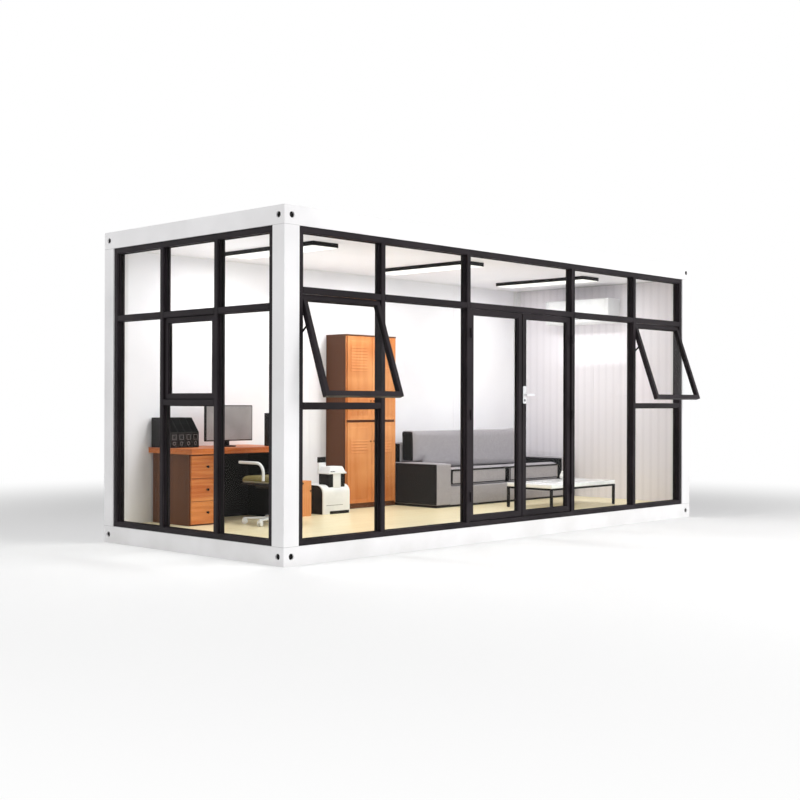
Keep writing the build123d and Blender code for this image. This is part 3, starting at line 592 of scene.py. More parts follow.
def spun(profile, centre=(0, 0, 0), axis="Z", steps=32):
    """Turn a profile of radius and height pairs about an axis."""
    mesh = bpy.data.meshes.new("profile")
    points = [(r, 0, h) for r, h in profile]
    mesh.from_pydata(points, [(i, i + 1) for i in range(len(points) - 1)], [])
    piece = bpy.data.objects.new("profile", mesh)
    bpy.context.scene.collection.objects.link(piece)
    alone(piece)
    bpy.ops.object.mode_set(mode="EDIT")
    bpy.ops.mesh.select_all(action="SELECT")
    bpy.ops.mesh.spin(steps=steps, angle=math.tau, center=(0, 0, 0), axis=(0, 0, 1))
    bpy.ops.mesh.select_all(action="SELECT")
    bpy.ops.mesh.remove_doubles(threshold=0.00005)
    bpy.ops.mesh.normals_make_consistent(inside=False)
    close_edit()
    piece.rotation_euler = {"X": (0, math.pi / 2, 0), "Y": (math.pi / 2, 0, 0), "Z": (0, 0, 0)}[axis]
    piece.location = centre
    return settle(piece)


def joined(pieces):
    """Join several objects into the first."""
    bpy.ops.object.select_all(action="DESELECT")
    for piece in pieces:
        piece.select_set(True)
    bpy.context.view_layer.objects.active = pieces[0]
    if len(pieces) > 1:
        bpy.ops.object.join()
    return pieces[0]


def copies(piece, places):
    """The piece once at each place, each copy with its own mesh, all joined."""
    made = []
    for at in places:
        twin = piece.copy()
        twin.data = piece.data.copy()
        bpy.context.scene.collection.objects.link(twin)
        twin.data.transform(Matrix.Translation(at))
        made.append(twin)
    bpy.data.objects.remove(piece)
    return joined(made)


def prism(outline, axis, start, end):
    """A flat outline pulled along one axis. The outline gives the other two coordinates in order."""
    points = [list(point) for point in outline]
    for point in points:
        point.insert(axis, start)
    mesh = bpy.data.meshes.new("outline")
    mesh.from_pydata(points, [], [list(range(len(points)))])
    piece = bpy.data.objects.new("outline", mesh)
    bpy.context.scene.collection.objects.link(piece)
    alone(piece)
    way = Vector((0, 0, 0))
    way[axis] = end - start
    bpy.ops.object.mode_set(mode="EDIT")
    bpy.ops.mesh.select_all(action="SELECT")
    bpy.ops.mesh.extrude_region_move(TRANSFORM_OT_translate={"value": way})
    bpy.ops.mesh.select_all(action="SELECT")
    bpy.ops.mesh.normals_make_consistent(inside=False)
    close_edit()
    return piece


def arc(centre, radius, start, end, steps=8):
    """Points on part of a circle, between two angles in degrees."""
    angles = [math.radians(start + (end - start) * i / steps) for i in range(steps + 1)]
    return [(centre[0] + radius * math.cos(a), centre[1] + radius * math.sin(a)) for a in angles]


def turned(piece, angle, centre, axis="X"):
    """Turn the mesh about a line through a point."""
    centre = Vector(centre)
    piece.data.transform(Matrix.Translation(centre) @ Matrix.Rotation(angle, 4, axis) @ Matrix.Translation(-centre))
    return piece


def done(piece, name, slot, body="house", crease=35, stands_for=(), look=None):
    """Name the piece, give it its finish, smooth it and let it ride."""
    settle(piece)
    piece.name = piece.data.name = name
    piece.data.materials.clear()
    piece.data.materials.append(finishes[look or slot])
    alone(piece)
    bpy.ops.object.shade_smooth_by_angle(angle=math.radians(crease))
    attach(piece, body)
    if stands_for:
        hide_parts(*stands_for)
    print(name, len(piece.data.polygons), "faces")
    return piece


print("tools ready")

# %% [markdown]
# Glass is held in its bars by a slim bead on each side, with a black rubber line against the
# pane. Each bead is a box pierced through by an inset and a bridge, then rounded. All fixed
# panes share one pattern, so a list of columns and heights places every bead.

# %% Beads of the fixed panes
BEAD, RAIL_BEAD, BEAD_DEEP, RUBBER = 0.012, 0.004, 0.014, 0.003
FRONT_Y, END_X = -1.2175, -3.0275
PANE = (0.0465, 0.0525)
FRONT_COLUMNS = [(-2.8205, -1.9405), (-1.8905, -0.8315), (-0.7815, 0.7815), (0.8315, 1.8905), (1.9405, 2.8205)]
END_COLUMNS = [(-1.0285, -0.394), (-0.344, 0.344), (0.394, 1.0285)]
FRONT_PANES = [(c, (2.165, 2.59)) for c in FRONT_COLUMNS]
FRONT_PANES += [(FRONT_COLUMNS[i], (0.195, 1.216)) for i in (0, 4)]
FRONT_PANES += [(FRONT_COLUMNS[i], (0.195, 2.115)) for i in (1, 3)]
END_PANES = [(c, (2.036, 2.59)) for c in END_COLUMNS]
END_PANES += [(END_COLUMNS[0], (0.195, 1.986)), (END_COLUMNS[1], (0.195, 1.238)), (END_COLUMNS[2], (0.195, 1.986))]


def front_ring(column, z, depth, border, rail):
    """A frame in the front wall, with its depth counted from the post face."""
    return ring((column[0], FRONT_Y + depth[0], z[0]), (column[1], FRONT_Y + depth[1], z[1]), 1, border, rail)


def end_ring(column, z, depth, border, rail):
    """A frame in the end wall, with its depth counted from the post face."""
    return ring((END_X + depth[0], column[0], z[0]), (END_X + depth[1], column[1], z[1]), 0, border, rail)


def bead_pair(maker, column, z, bead=BEAD):
    """Two beads and two rubber lines round one pane."""
    beads, rubbers = [], []
    for near, far in (((PANE[0] - BEAD_DEEP, PANE[0] - RUBBER), (PANE[0] - RUBBER, PANE[0])),
                      ((PANE[1] + RUBBER, PANE[1] + BEAD_DEEP), (PANE[1], PANE[1] + RUBBER))):
        beads.append(rounded(maker(column, z, near, bead, RAIL_BEAD), 0.0015))
        rubbers.append(maker(column, z, far, bead + 0.003, RAIL_BEAD + 0.003))
    return beads, rubbers


beads, rubbers = [], []
for maker, panes in ((front_ring, FRONT_PANES), (end_ring, END_PANES)):
    for column, z in panes:
        pair = bead_pair(maker, column, z)
        beads += pair[0]
        rubbers += pair[1]
done(joined(beads), "pane_beads", "dark_aluminium")
done(joined(rubbers), "pane_rubbers", "black_plastic")

# %% [markdown]
# A slim cover strip is snapped on the face of every bar, a little narrower than the bar, so that
# each one shows a fine step along both edges. By the doors it leaves room for the hinge plates.

# %% Cover strips of the bars
BAR_FACE, COVER, SHOULDER = 0.012, 0.003, 0.006
UPRIGHT_SPAN, HEAD_SPAN, SILL_SPAN = (0.201, 2.584), (2.596, 2.634), (0.156, 0.189)
FRONT_TRANSOM, FRONT_LOW_TRANSOM = (2.121, 2.159), (1.222, 1.26)
END_TRANSOM, END_LOW_TRANSOM = (1.992, 2.03), (1.244, 1.282)


def front_strip(x, z):
    return soft_block((x[0], FRONT_Y + BAR_FACE - COVER, z[0]), (x[1], FRONT_Y + BAR_FACE, z[1]), 0.0012, 1)


def end_strip(y, z):
    return soft_block((END_X + BAR_FACE - COVER, y[0], z[0]), (END_X + BAR_FACE, y[1], z[1]), 0.0012, 1)


strips = []
for side in (-1, 1):
    for x in ((2.8205, 2.8705), (1.8905, 1.9405)):
        span = sorted((side * (x[0] + SHOULDER), side * (x[1] - SHOULDER)))
        strips.append(front_strip(span, UPRIGHT_SPAN))
    span = sorted((side * 0.8195, side * 0.8295))
    strips.append(front_strip(span, UPRIGHT_SPAN))
for column in FRONT_COLUMNS:
    strips.append(front_strip((column[0] + 0.001, column[1] - 0.001), FRONT_TRANSOM))
for i in (0, 4):
    strips.append(front_strip((FRONT_COLUMNS[i][0] + 0.001, FRONT_COLUMNS[i][1] - 0.001), FRONT_LOW_TRANSOM))
strips += [front_strip((-2.862, 2.862), span) for span in (HEAD_SPAN, SILL_SPAN)]
for y in ((-1.0785, -1.0285), (-0.394, -0.344), (0.344, 0.394), (1.0285, 1.0785)):
    strips.append(end_strip((y[0] + SHOULDER, y[1] - SHOULDER), UPRIGHT_SPAN))
for column in END_COLUMNS:
    strips.append(end_strip((column[0] + 0.001, column[1] - 0.001), END_TRANSOM))
strips.append(end_strip((-0.343, 0.343), END_LOW_TRANSOM))
strips += [end_strip((-1.07, 1.07), span) for span in (HEAD_SPAN, SILL_SPAN)]
done(joined(strips), "bar_covers", "dark_aluminium")

# %% [markdown]
# The two front windows stand open on their stays, turned out about their top edge. Their beads
# are made upright, in the closed place, and then turned with the same angle as the sashes. Each
# sash has a small catch on its bottom rail, inside the room. The shut window in the end wall
# rests against a thin rubber stop.

# %% Beads and catches of the windows
SASH_TURN, SASH_EDGE = -math.radians(19.5), 0.045
SASH_HINGE = (0, FRONT_Y + 0.027, 2.11)
FRONT_SASH_Z, END_SASH_Z = (1.311, 2.07), (1.333, 1.941)
CATCH_HALF, CATCH_DEPTH = 0.055, (0.072, 0.088)
FRONT_CATCH_Z, END_CATCH_Z = (1.279, 1.303), (1.301, 1.325)
for name, column in (("left", FRONT_COLUMNS[0]), ("right", FRONT_COLUMNS[4])):
    opening, middle = (column[0] + SASH_EDGE, column[1] - SASH_EDGE), sum(column) / 2
    pair = bead_pair(front_ring, opening, FRONT_SASH_Z, RAIL_BEAD)
    catch = soft_block((middle - CATCH_HALF, FRONT_Y + CATCH_DEPTH[0], FRONT_CATCH_Z[0]),
                       (middle + CATCH_HALF, FRONT_Y + CATCH_DEPTH[1], FRONT_CATCH_Z[1]), 0.005)
    done(turned(joined(pair[0] + [catch]), SASH_TURN, SASH_HINGE), f"{name}_window_beads", "dark_aluminium")
    done(turned(joined(pair[1]), SASH_TURN, SASH_HINGE), f"{name}_window_rubbers", "black_plastic")
opening = (END_COLUMNS[1][0] + SASH_EDGE, END_COLUMNS[1][1] - SASH_EDGE)
pair = bead_pair(end_ring, opening, END_SASH_Z, RAIL_BEAD)
catch = soft_block((END_X + CATCH_DEPTH[0], -CATCH_HALF, END_CATCH_Z[0]),
                   (END_X + CATCH_DEPTH[1], CATCH_HALF, END_CATCH_Z[1]), 0.005)
done(joined(pair[0] + [catch]), "end_window_beads", "dark_aluminium")
done(joined(pair[1]), "end_window_rubbers", "black_plastic")
sash_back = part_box("end_window_sash")[1].x - END_X
stop = end_ring(END_COLUMNS[1], (1.288, 1.986), (sash_back + 0.001, sash_back + 0.007), 0.014, 0.014)
done(rounded(stop, 0.001, 1), "end_window_stop", "black_plastic")

# %% [markdown]
# The door leaves get the same beads, which must ride on their own leaf. A lock cylinder sits
# under the lever on each face of the right leaf, in a small round rose.

# %% Beads and lock of the doors
LEAF_Z, LEAF_EDGE = (0.248, 2.062), 0.052
for body in ("left_door", "right_door"):
    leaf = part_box(body + "_frame")
    opening = (leaf[0].x + LEAF_EDGE, leaf[1].x - LEAF_EDGE)
    pair = bead_pair(front_ring, opening, LEAF_Z)
    done(joined(pair[0]), body + "_beads", "dark_aluminium", body)
    done(joined(pair[1]), body + "_rubbers", "black_plastic", body)
lock_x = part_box("right_door_frame")[0].x + 0.026
rose = [(0, 0.005), (0.006, 0.005), (0.008, 0.004), (0.0115, 0.003), (0.013, 0.0)]
locks = []
for y, way in ((FRONT_Y + 0.021, 1), (FRONT_Y + 0.078, -1)):
    profile = [(r, h * way) for r, h in rose]
    locks.append(spun(profile, (lock_x, y, 1.29), "Y", 24))
done(joined(locks), "door_lock_roses", "bright_steel", "right_door")

# %% [markdown]
# The solid walls are rows of insulated panels with a fine joint between them. Each panel is a
# flat sheet in narrow strips, laid upright, to which Solidify gives the wall's thickness. Its
# room side stands a hair back. The upright lines of the right wall are painted shade in its finish.

# %% Wall panels
PANEL_STRIPS, PANEL_GAP, ROOM_BACK = 55, 0.002, 0.0015


def wall_panel(low, high, normal_axis):
    """A flat upright panel between two corners."""
    length, tall = high[1 - normal_axis] - low[1 - normal_axis], high[2] - low[2]
    bpy.ops.object.select_all(action="DESELECT")
    bpy.ops.mesh.primitive_grid_add(x_subdivisions=PANEL_STRIPS, y_subdivisions=1, size=1)
    piece = bpy.context.object
    piece.scale = (length, tall, 1)
    piece.rotation_euler = (math.pi / 2, 0, 0 if normal_axis == 1 else math.pi / 2)
    settle(piece)
    modify(piece, "SOLIDIFY", thickness=high[normal_axis] - low[normal_axis], offset=0)
    piece.data.transform(Matrix.Translation((Vector(low) + Vector(high)) / 2))
    return piece


def wall_spans(low, high, count, gap):
    width = (high - low - gap * (count - 1)) / count
    return [(low + i * (width + gap), low + i * (width + gap) + width) for i in range(count)]


low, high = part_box("back_wall")
panels = [wall_panel((x[0], low.y + ROOM_BACK, low.z), (x[1], high.y, high.z), 1)
          for x in wall_spans(low.x, high.x, 5, PANEL_GAP)]
done(joined(panels), "back_wall_panels", "white_panel", crease=12, stands_for=["back_wall"])
low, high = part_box("right_wall")
panels = [wall_panel((low.x + ROOM_BACK, y[0], low.z), (high.x, y[1], high.z), 0)
          for y in wall_spans(low.y, high.y, 2, PANEL_GAP)]
done(joined(panels), "right_wall_panels", "white_panel", crease=12, stands_for=["right_wall"], look="rib_shaded_skin")

# %% [markdown]
# Upholstery is modelled as what it is: a cover with a filling that pushes out. The cover is
# remeshed into even small faces, blown up for a few frames by Cloth with pressure and no
# gravity, and then held inside the space that it may fill, so it lies flat on what carries it.

# %% Cushion tools


def plump(pad, voxel, cap, low, high, pressure=4.0, frames=20):
    """Fill a pad: swell it by at most cap, and keep it between two corners."""
    modify(pad, "REMESH", mode="VOXEL", voxel_size=voxel, use_smooth_shade=True)
    rest = [vertex.co.copy() for vertex in pad.data.vertices]
    alone(pad)
    cloth = pad.modifiers.new("Cloth", "CLOTH")
    cloth.settings.quality = 5
    cloth.settings.mass = 0.3
    cloth.settings.use_pressure = True
    cloth.settings.uniform_pressure_force = pressure
    cloth.settings.effector_weights.gravity = 0
    for number in range(1, frames + 1):
        bpy.context.scene.frame_set(number)
    bpy.ops.object.modifier_apply(modifier=cloth.name)
    bpy.context.scene.frame_set(1)
    for vertex, start in zip(pad.data.vertices, rest):
        move = vertex.co - start
        if move.length > cap:
            vertex.co = start + move * (cap / move.length)
        for i in range(3):
            vertex.co[i] = min(max(vertex.co[i], low[i]), high[i])
    modify(pad, "SMOOTH", factor=0.5, iterations=3)
    return pad


def pulled_in(pad, low, high, waist):
    """Draw in the four upright sides between their corners, as a sewn cover does."""
    middle = (Vector(low) + Vector(high)) / 2
    half = (Vector(high) - Vector(low)) / 2
    for vertex in pad.data.vertices:
        u = (vertex.co.x - middle.x) / half.x
        v = (vertex.co.y - middle.y) / half.y
        vertex.co.x -= u * waist * (1 - v * v)
        vertex.co.y -= v * waist * (1 - u * u)
    return pad


def piping(points, radius, cover, closed=True):
    """A round cord sewn on a cover: a line drawn on to the cloth, then given its thickness."""
    mesh = bpy.data.meshes.new("piping")
    edges = [(i, i + 1) for i in range(len(points) - 1)]
    if closed:
        edges.append((len(points) - 1, 0))
    mesh.from_pydata([tuple(p) for p in points], edges, [])
    line = bpy.data.objects.new("piping", mesh)
    bpy.context.scene.collection.objects.link(line)
    modify(line, "SHRINKWRAP", target=cover, wrap_method="NEAREST_SURFACEPOINT", offset=radius * 0.3)
    alone(line)
    bpy.ops.object.convert(target="CURVE")
    line = bpy.context.object
    line.data.bevel_depth = radius
    line.data.bevel_resolution = 3
    bpy.ops.object.convert(target="MESH")
    return bpy.context.object


def loop_points(x, y, z, corner, step=0.02):
    """Points round a rectangle with round corners, at one height."""
    points = []
    corners = ((x[1] - corner, y[1] - corner, 0), (x[0] + corner, y[1] - corner, 90),
               (x[0] + corner, y[0] + corner, 180), (x[1] - corner, y[0] + corner, 270))
    for i, (cx, cy, start) in enumerate(corners):
        for turn in range(0, 91, 15):
            angle = math.radians(start + turn)
            points.append(Vector((cx + corner * math.cos(angle), cy + corner * math.sin(angle), z)))
        nx, ny, after = corners[(i + 1) % 4]
        angle = math.radians(after)
        goal = Vector((nx + corner * math.cos(angle), ny + corner * math.sin(angle), z))
        gap = goal - points[-1]
        count = max(1, int(gap.length / step))
        points += [points[-1] + gap * (k / count) for k in range(1, count)]
    return points


print("cushion tools ready")

# %% [markdown]
# The sofa has a tight-covered body: two block arms, a base and a rear frame, each a box with
# soft edges and a slight crown, standing on a dark plinth line. Even cuts and a bevel keep the
# cover taut, where a blown-up pad would look too soft.

# %% Sofa body
SOFA_ARM = 0.242
PLINTH = 0.022
low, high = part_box("sofa_body")
ARM_TOP, BASE_TOP, REAR_TOP = 0.622, 0.374, 0.827
REAR_FRONT = high.y - 0.222
BACK_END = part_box("sofa_back")[1].x


def tight_pad(corner, far_corner, edge=0.022, crown=0.006):
    """A tight-covered block: soft edges and faces that swell a little."""
    corner, far_corner = Vector(corner), Vector(far_corner)
    piece = block(corner, far_corner)
    size = far_corner - corner
    alone(piece)
    bpy.ops.object.mode_set(mode="EDIT")
    bpy.ops.mesh.select_all(action="SELECT")
    bpy.ops.mesh.subdivide(number_cuts=15)
    close_edit()
    middle = (corner + far_corner) / 2
    for vertex in piece.data.vertices:
        share = [2 * (vertex.co[i] - middle[i]) / size[i] for i in range(3)]
        for i in range(3):
            if abs(share[i]) > 0.999:
                others = [1 - share[j] ** 4 for j in range(3) if j != i]
                vertex.co[i] -= math.copysign(crown * (1 - others[0] * others[1]), share[i])
    rounded(piece, edge, 4, 40)
    return piece


upholstery = []
for x in ((low.x, low.x + SOFA_ARM), (high.x - SOFA_ARM, high.x)):
    upholstery.append(tight_pad((x[0], low.y, low.z + PLINTH), (x[1], REAR_FRONT, ARM_TOP)))
upholstery.append(tight_pad((low.x + SOFA_ARM - 0.03, low.y + 0.002, low.z + PLINTH),
                            (high.x - SOFA_ARM + 0.03, REAR_FRONT, BASE_TOP), 0.004, 0.001))
upholstery.append(tight_pad((low.x, REAR_FRONT, low.z + PLINTH), (high.x, high.y, ARM_TOP)))
upholstery.append(tight_pad((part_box("sofa_back")[0].x, REAR_FRONT, ARM_TOP - 0.02), (BACK_END, high.y, REAR_TOP)))
sofa = done(joined(upholstery), "sofa_upholstery", "grey_fabric", stands_for=["sofa_body"])
plinth = soft_block((low.x + 0.015, low.y + 0.015, low.z), (high.x - 0.015, high.y - 0.015, low.z + PLINTH),
                    0.003)
done(plinth, "sofa_plinth", "black_plastic")

# %% [markdown]
# Two box cushions make the seat and one long cushion makes the back. They start a little
# smaller than their space, are filled and then drawn in at the sides. Black piping follows the
# upper seam of each seat cushion and goes round its front. A cord follows the top of the back,
# and its pale colour is a painted highlight along that top edge.

# %% Sofa cushions
SWELL, FALL = 0.02, 0.08
low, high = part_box("sofa_cushions")
spans = [(low.x, (low.x + high.x) / 2 - 0.002), ((low.x + high.x) / 2 + 0.002, high.x)]
cushions, cords = [], []
for i, x in enumerate(spans):
    corner, far_corner = Vector((x[0], low.y, low.z)), Vector((x[1], high.y, high.z))
    pad = block(corner + Vector((SWELL, SWELL, 0.004)) * 0.6, far_corner - Vector((SWELL, SWELL, SWELL)) * 0.6)
    for vertex in pad.data.vertices:
        if vertex.co.z > (low.z + high.z) / 2:
            vertex.co.z -= FALL * (vertex.co.y - low.y)
    rounded(pad, 0.022, 3)
    alone(pad)
    plump(pad, 0.013, SWELL, corner, far_corner)
    pulled_in(pad, corner, far_corner, 0.006)
    cushions.append(pad)
    rim = loop_points((x[0] + 0.012, x[1] - 0.012), (low.y + 0.012, high.y - 0.012), high.z - 0.02, 0.035)
    for point in rim:
        point.z -= FALL * (point.y - low.y)
    cords.append(piping(rim, 0.0075, pad))
    panel = loop_points((x[0] + 0.02, x[1] - 0.02), (low.z + 0.02, high.z - 0.03), 0, 0.02)
    cords.append(piping([Vector((p.x, low.y, p.y)) for p in panel], 0.005, pad))
seat = done(joined(cushions), "sofa_seat_cushions", "grey_fabric", stands_for=["sofa_cushions"])
done(joined(cords), "sofa_seat_piping", "black_fabric")

low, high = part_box("sofa_back")
corner, far_corner = Vector(low), Vector(high)
upper = block((low.x + 0.006, low.y + 0.012, ARM_TOP + 0.004), (high.x - 0.006, high.y - 0.004, high.z - 0.004))
lower = block((low.x + 0.169, low.y + 0.012, low.z + 0.006), (high.x - 0.006, high.y - 0.004, ARM_TOP + 0.05))
modify(upper, "BEVEL", width=0.022, segments=3)
pad = plump(joined([upper, lower]), 0.014, 0.014, corner, far_corner)
count = int((high.x - low.x) / 0.03)
line = [Vector((low.x + 0.02 + (high.x - low.x - 0.04) * i / count, low.y + 0.03, high.z))
        for i in range(count + 1)]
cord = piping(line, 0.004, pad, closed=False)
back = done(pad, "sofa_back_cushion", "grey_fabric", stands_for=["sofa_back"])
# The cord is of the sofa's grey cloth, and its pale look is a painted highlight.
done(cord, "sofa_back_piping", "grey_fabric", look="highlight_cord")

# %% [markdown]
# The office chair carries two small pads. They are plumped in the same way with a finer mesh,
# and the back keeps two sewn channels across it, pressed in after the filling.

# %% Chair pads
low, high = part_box("chair_seat")
pad = block(Vector(low) + Vector((0.012, 0.012, 0.002)), Vector(high) - Vector((0.012, 0.012, 0.012)))
rounded(pad, 0.024, 3)
plump(pad, 0.007, 0.014, low, high)
seat = done(pad, "chair_seat_pad", "olive_fabric", stands_for=["chair_seat"])
low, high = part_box("chair_back")
pad = block(Vector(low) + Vector((0.01, 0.01, 0.01)), Vector(high) - Vector((0.01, 0.002, 0.01)))
rounded(pad, 0.02, 3)
plump(pad, 0.007, 0.014, low, high)
for vertex in pad.data.vertices:
    for share in (0.35, 0.68):
        gap = abs(vertex.co.z - (low.z + (high.z - low.z) * share))
        if vertex.co.y < (low.y + high.y) / 2:
            continue
        vertex.co.y -= 0.006 * max(0.0, 1 - gap / 0.014)
back = done(pad, "chair_back_pad", "black_fabric", stands_for=["chair_back"])

# %% [markdown]
# Cabinet doors are framed: stiles and rails round a sunk panel, with a set of slanted slats in
# it. One door is built from a box by two insets, its slats are a tilted bar repeated by an
# Array, and all four doors follow the same steps at their own size.

# %% Cabinet doors
STILE, SINK, SLAT_STEP = 0.045, 0.007, 0.03
SMALL_KNOB = [(0, 0.012), (0.007, 0.011), (0.008, 0.008), (0.004, 0.004), (0.005, 0)]
low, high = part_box("cabinet_doors")
split = (low.x + high.x) / 2
doors, handles = [], []
for x in ((low.x, split - 0.002), (split + 0.002, high.x)):
    for z, slat_low, slat_count in (((low.z, 1.056), 0.62, 5), ((1.082, high.z), 0.58, 9)):
        door = block((x[0], low.y, z[0]), (x[1], high.y, z[1]))
        sunk(door, (0, -1, 0), STILE, SINK)
        sunk_face = low.y + SINK
        pick_faces(door, lambda middle, normal: normal.y < -0.9 and middle.y > sunk_face - 0.001)
        bpy.ops.mesh.inset(thickness=0.012, depth=0.004)
        close_edit()
        rounded(door, 0.0025, 2, 25)
        start = z[0] + (z[1] - z[0]) * slat_low
        slat = block((x[0] + STILE + 0.006, low.y + 0.001, start),
                     (x[1] - STILE - 0.006, low.y + 0.005, start + 0.026))
        rounded(slat, 0.0015, 1)
        turned(slat, math.radians(-14), (0, low.y + 0.003, start + 0.013))
        modify(slat, "ARRAY", count=slat_count, use_relative_offset=False, use_constant_offset=True,
               constant_offset_displace=(0, 0, SLAT_STEP))
        doors += [door, slat]
        edge = x[1] - 0.022 if x[0] < split - 0.01 else x[0] + 0.022
        middle = z[1] - 0.2 if z[0] < 1 else z[0] + 0.2
        handles.append(spun(SMALL_KNOB, (edge, low.y + 0.001, middle), "Y", 16))
done(joined(doors), "cabinet_framed_doors", "orange_wood", crease=20, stands_for=["cabinet_doors"])
done(joined(handles), "cabinet_knobs", "orange_wood", look="brown_wood")
case_low, case_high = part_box("cabinet_body")
edges = [block((x, case_low.y - 0.0015, low.z - 0.02), (x + 0.0155, case_low.y, high.z))
         for x in (case_low.x + 0.001, case_high.x - 0.0165)]
done(joined(edges), "cabinet_edge_bands", "orange_wood")
lip = soft_block((case_low.x, case_low.y - 0.008, high.z + 0.003), (case_high.x, case_low.y, case_high.z), 0.002)
done(lip, "cabinet_top_lip", "brown_wood")

# %% [markdown]
# The drawers of the desk are boards with softened edges and round dark knobs. A knob is turned
# on a lathe, so it is a profile spun about its own axis and copied to each drawer.

# %% Desk drawers
low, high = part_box("desk_drawers")
board_front = high.y - 0.018
fronts, knobs = [], []
for z in wall_spans(low.z, high.z, 3, 0.004):
    front_board = block((low.x, board_front, z[0]), (high.x, high.y, z[1]))
    sunk(front_board, (0, -1, 0), 0.018, 0.003)
    fronts.append(rounded(front_board, 0.002, 2, 25))
    knobs.append(Vector(((low.x + high.x) / 2, board_front + 0.003, sum(z) / 2)))
done(joined(fronts), "desk_drawer_fronts", "orange_wood", crease=20, stands_for=["desk_drawers"],
     look="orange_bands")
ROUND_KNOB = [(0, 0.022), (0.007, 0.0215), (0.0115, 0.019), (0.012, 0.016), (0.008, 0.011), (0.006, 0.006),
              (0.0085, 0.0)]
knob = spun(ROUND_KNOB, (0, 0, 0), "Y", 24)
done(copies(knob, knobs), "desk_drawer_knobs", "black_metal")

# %% [markdown]
# A corner casting is hollow, and its round holes look black from outside. A black box stands
# just inside the walls of each one, as painted shade for its dark inside.

# %% Painted shade inside the castings
low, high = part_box("corner_castings")
SHADE_BOX, CASTING_WALL = (0.129, 0.111, 0.122), 0.014
shade_boxes = []
for x in (low.x + CASTING_WALL, high.x - CASTING_WALL - SHADE_BOX[0]):
    for y in (low.y + CASTING_WALL, high.y - CASTING_WALL - SHADE_BOX[1]):
        for z in (low.z + CASTING_WALL, high.z - CASTING_WALL - SHADE_BOX[2]):
            shade_boxes.append(block((x, y, z), (x + SHADE_BOX[0], y + SHADE_BOX[1], z + SHADE_BOX[2])))
# Black boxes as painted shade in the hollow castings.
done(joined(shade_boxes), "casting_shade_boxes", "black_metal")

# %% [markdown]
# The printer is a dark-sided box whose white front rolls over into its top. The roll is an arc
# in a side outline that is pulled across the width, and the dark side is the same outline drawn
# smaller. A tapered deck stands on a black core, with the paper feeder behind it.

# %% Printer
low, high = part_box("printer_cheeks")
deck_low, deck_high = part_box("printer_scanner")
neck_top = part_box("printer_body")[1].z


def printer_outline(inset):
    """The side of the printer as depth and height, drawn smaller by an inset."""
    near, far, roof, radius = low.y + inset, high.y, high.z - inset * 0.35, 0.08
    return [(far, low.z), (far, roof)] + arc((near + radius, roof - radius), radius, 90, 180, 12) + [(near, low.z)]


shell = rounded(prism(printer_outline(0.0), 0, low.x + 0.0006, high.x - 0.0006), 0.004, 3, 50)
middle = (deck_low.x + deck_high.x) / 2
support = soft_block((middle - 0.052, deck_low.y + 0.01, high.z - 0.05),
                     (middle + 0.052, deck_low.y + 0.06, neck_top), 0.004)
done(joined([shell, support]), "printer_shell", "white_plastic", stands_for=["printer_body"])
core = block((deck_low.x + 0.012, deck_low.y + 0.016, high.z - 0.07),
             (deck_high.x - 0.012, deck_low.y + 0.16, neck_top))
done(rounded(core, 0.006), "printer_core", "black_plastic")
sides = [prism(printer_outline(0.014), 0, x, x + 0.004) for x in (low.x, high.x - 0.004)]
done(joined([rounded(side, 0.001, 1, 50) for side in sides]), "printer_sides", "black_plastic",
     stands_for=["printer_cheeks"])
deck_top = deck_low.z + 0.074
lid = block(deck_low, (deck_high.x, deck_low.y + 0.17, deck_top))
pick_faces(lid, lambda middle, normal: normal.z > 0.9)
bpy.ops.transform.resize(value=(0.68, 0.76, 1))
close_edit()
tray = soft_block(deck_low, (deck_high.x, deck_low.y + 0.17, deck_low.z + 0.018), 0.004, 3)
rest = soft_block((deck_low.x + 0.004, deck_high.y - 0.02, deck_low.z + 0.02),
                  (deck_low.x + 0.098, deck_high.y - 0.002, deck_high.z - 0.05), 0.004)
done(joined([rounded(lid, 0.006, 3), tray, rest]), "printer_deck", "white_plastic", stands_for=["printer_scanner"])
flap = soft_block((deck_low.x, deck_high.y - 0.022, deck_high.z - 0.055),
                  (deck_low.x + 0.1, deck_high.y, deck_high.z), 0.003)
strips = [block((low.x + 0.09, low.y - 0.0003, low.z), (high.x - 0.012, low.y + 0.012, low.z + 0.03)),
          block((low.x + 0.04, low.y - 0.0003, low.z + 0.086), (high.x - 0.1, low.y + 0.004, low.z + 0.0895))]
keys = [disc(0.011, 0.004, (deck_low.x + 0.105, deck_low.y + 0.028, deck_low.z + 0.057), "Y", 20)]
keys += [block((deck_low.x + x, deck_low.y - 0.0003, deck_low.z + 0.022),
               (deck_low.x + x + 0.022, deck_low.y + 0.012, deck_low.z + 0.028)) for x in (0.03, 0.062)]
done(joined([flap] + strips + keys), "printer_dark_parts", "black_plastic")

# %% [markdown]
# The indoor unit is pulled from its side outline too. Two end caps and the middle are kept
# apart by fine gaps over a dark core, so the seams are real grooves. A curved flap closes the
# outlet and the air inlet is a row of thin dark bars, flush with the top.

# %% Air conditioner
low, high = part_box("air_conditioner")
CAP, SEAM = 0.045, 0.0015


def cooler_outline(inset):
    """The side of the unit as distance along X and height, drawn smaller by an inset."""
    near, under, roof = low.x + inset, low.z + inset, high.z - inset
    points = [(high.x, under), (high.x, roof)] + arc((near + 0.02, roof - 0.02), 0.02, 90, 180, 6)
    return points + arc((near + 0.062, under + 0.062), 0.062, 180, 270, 12)


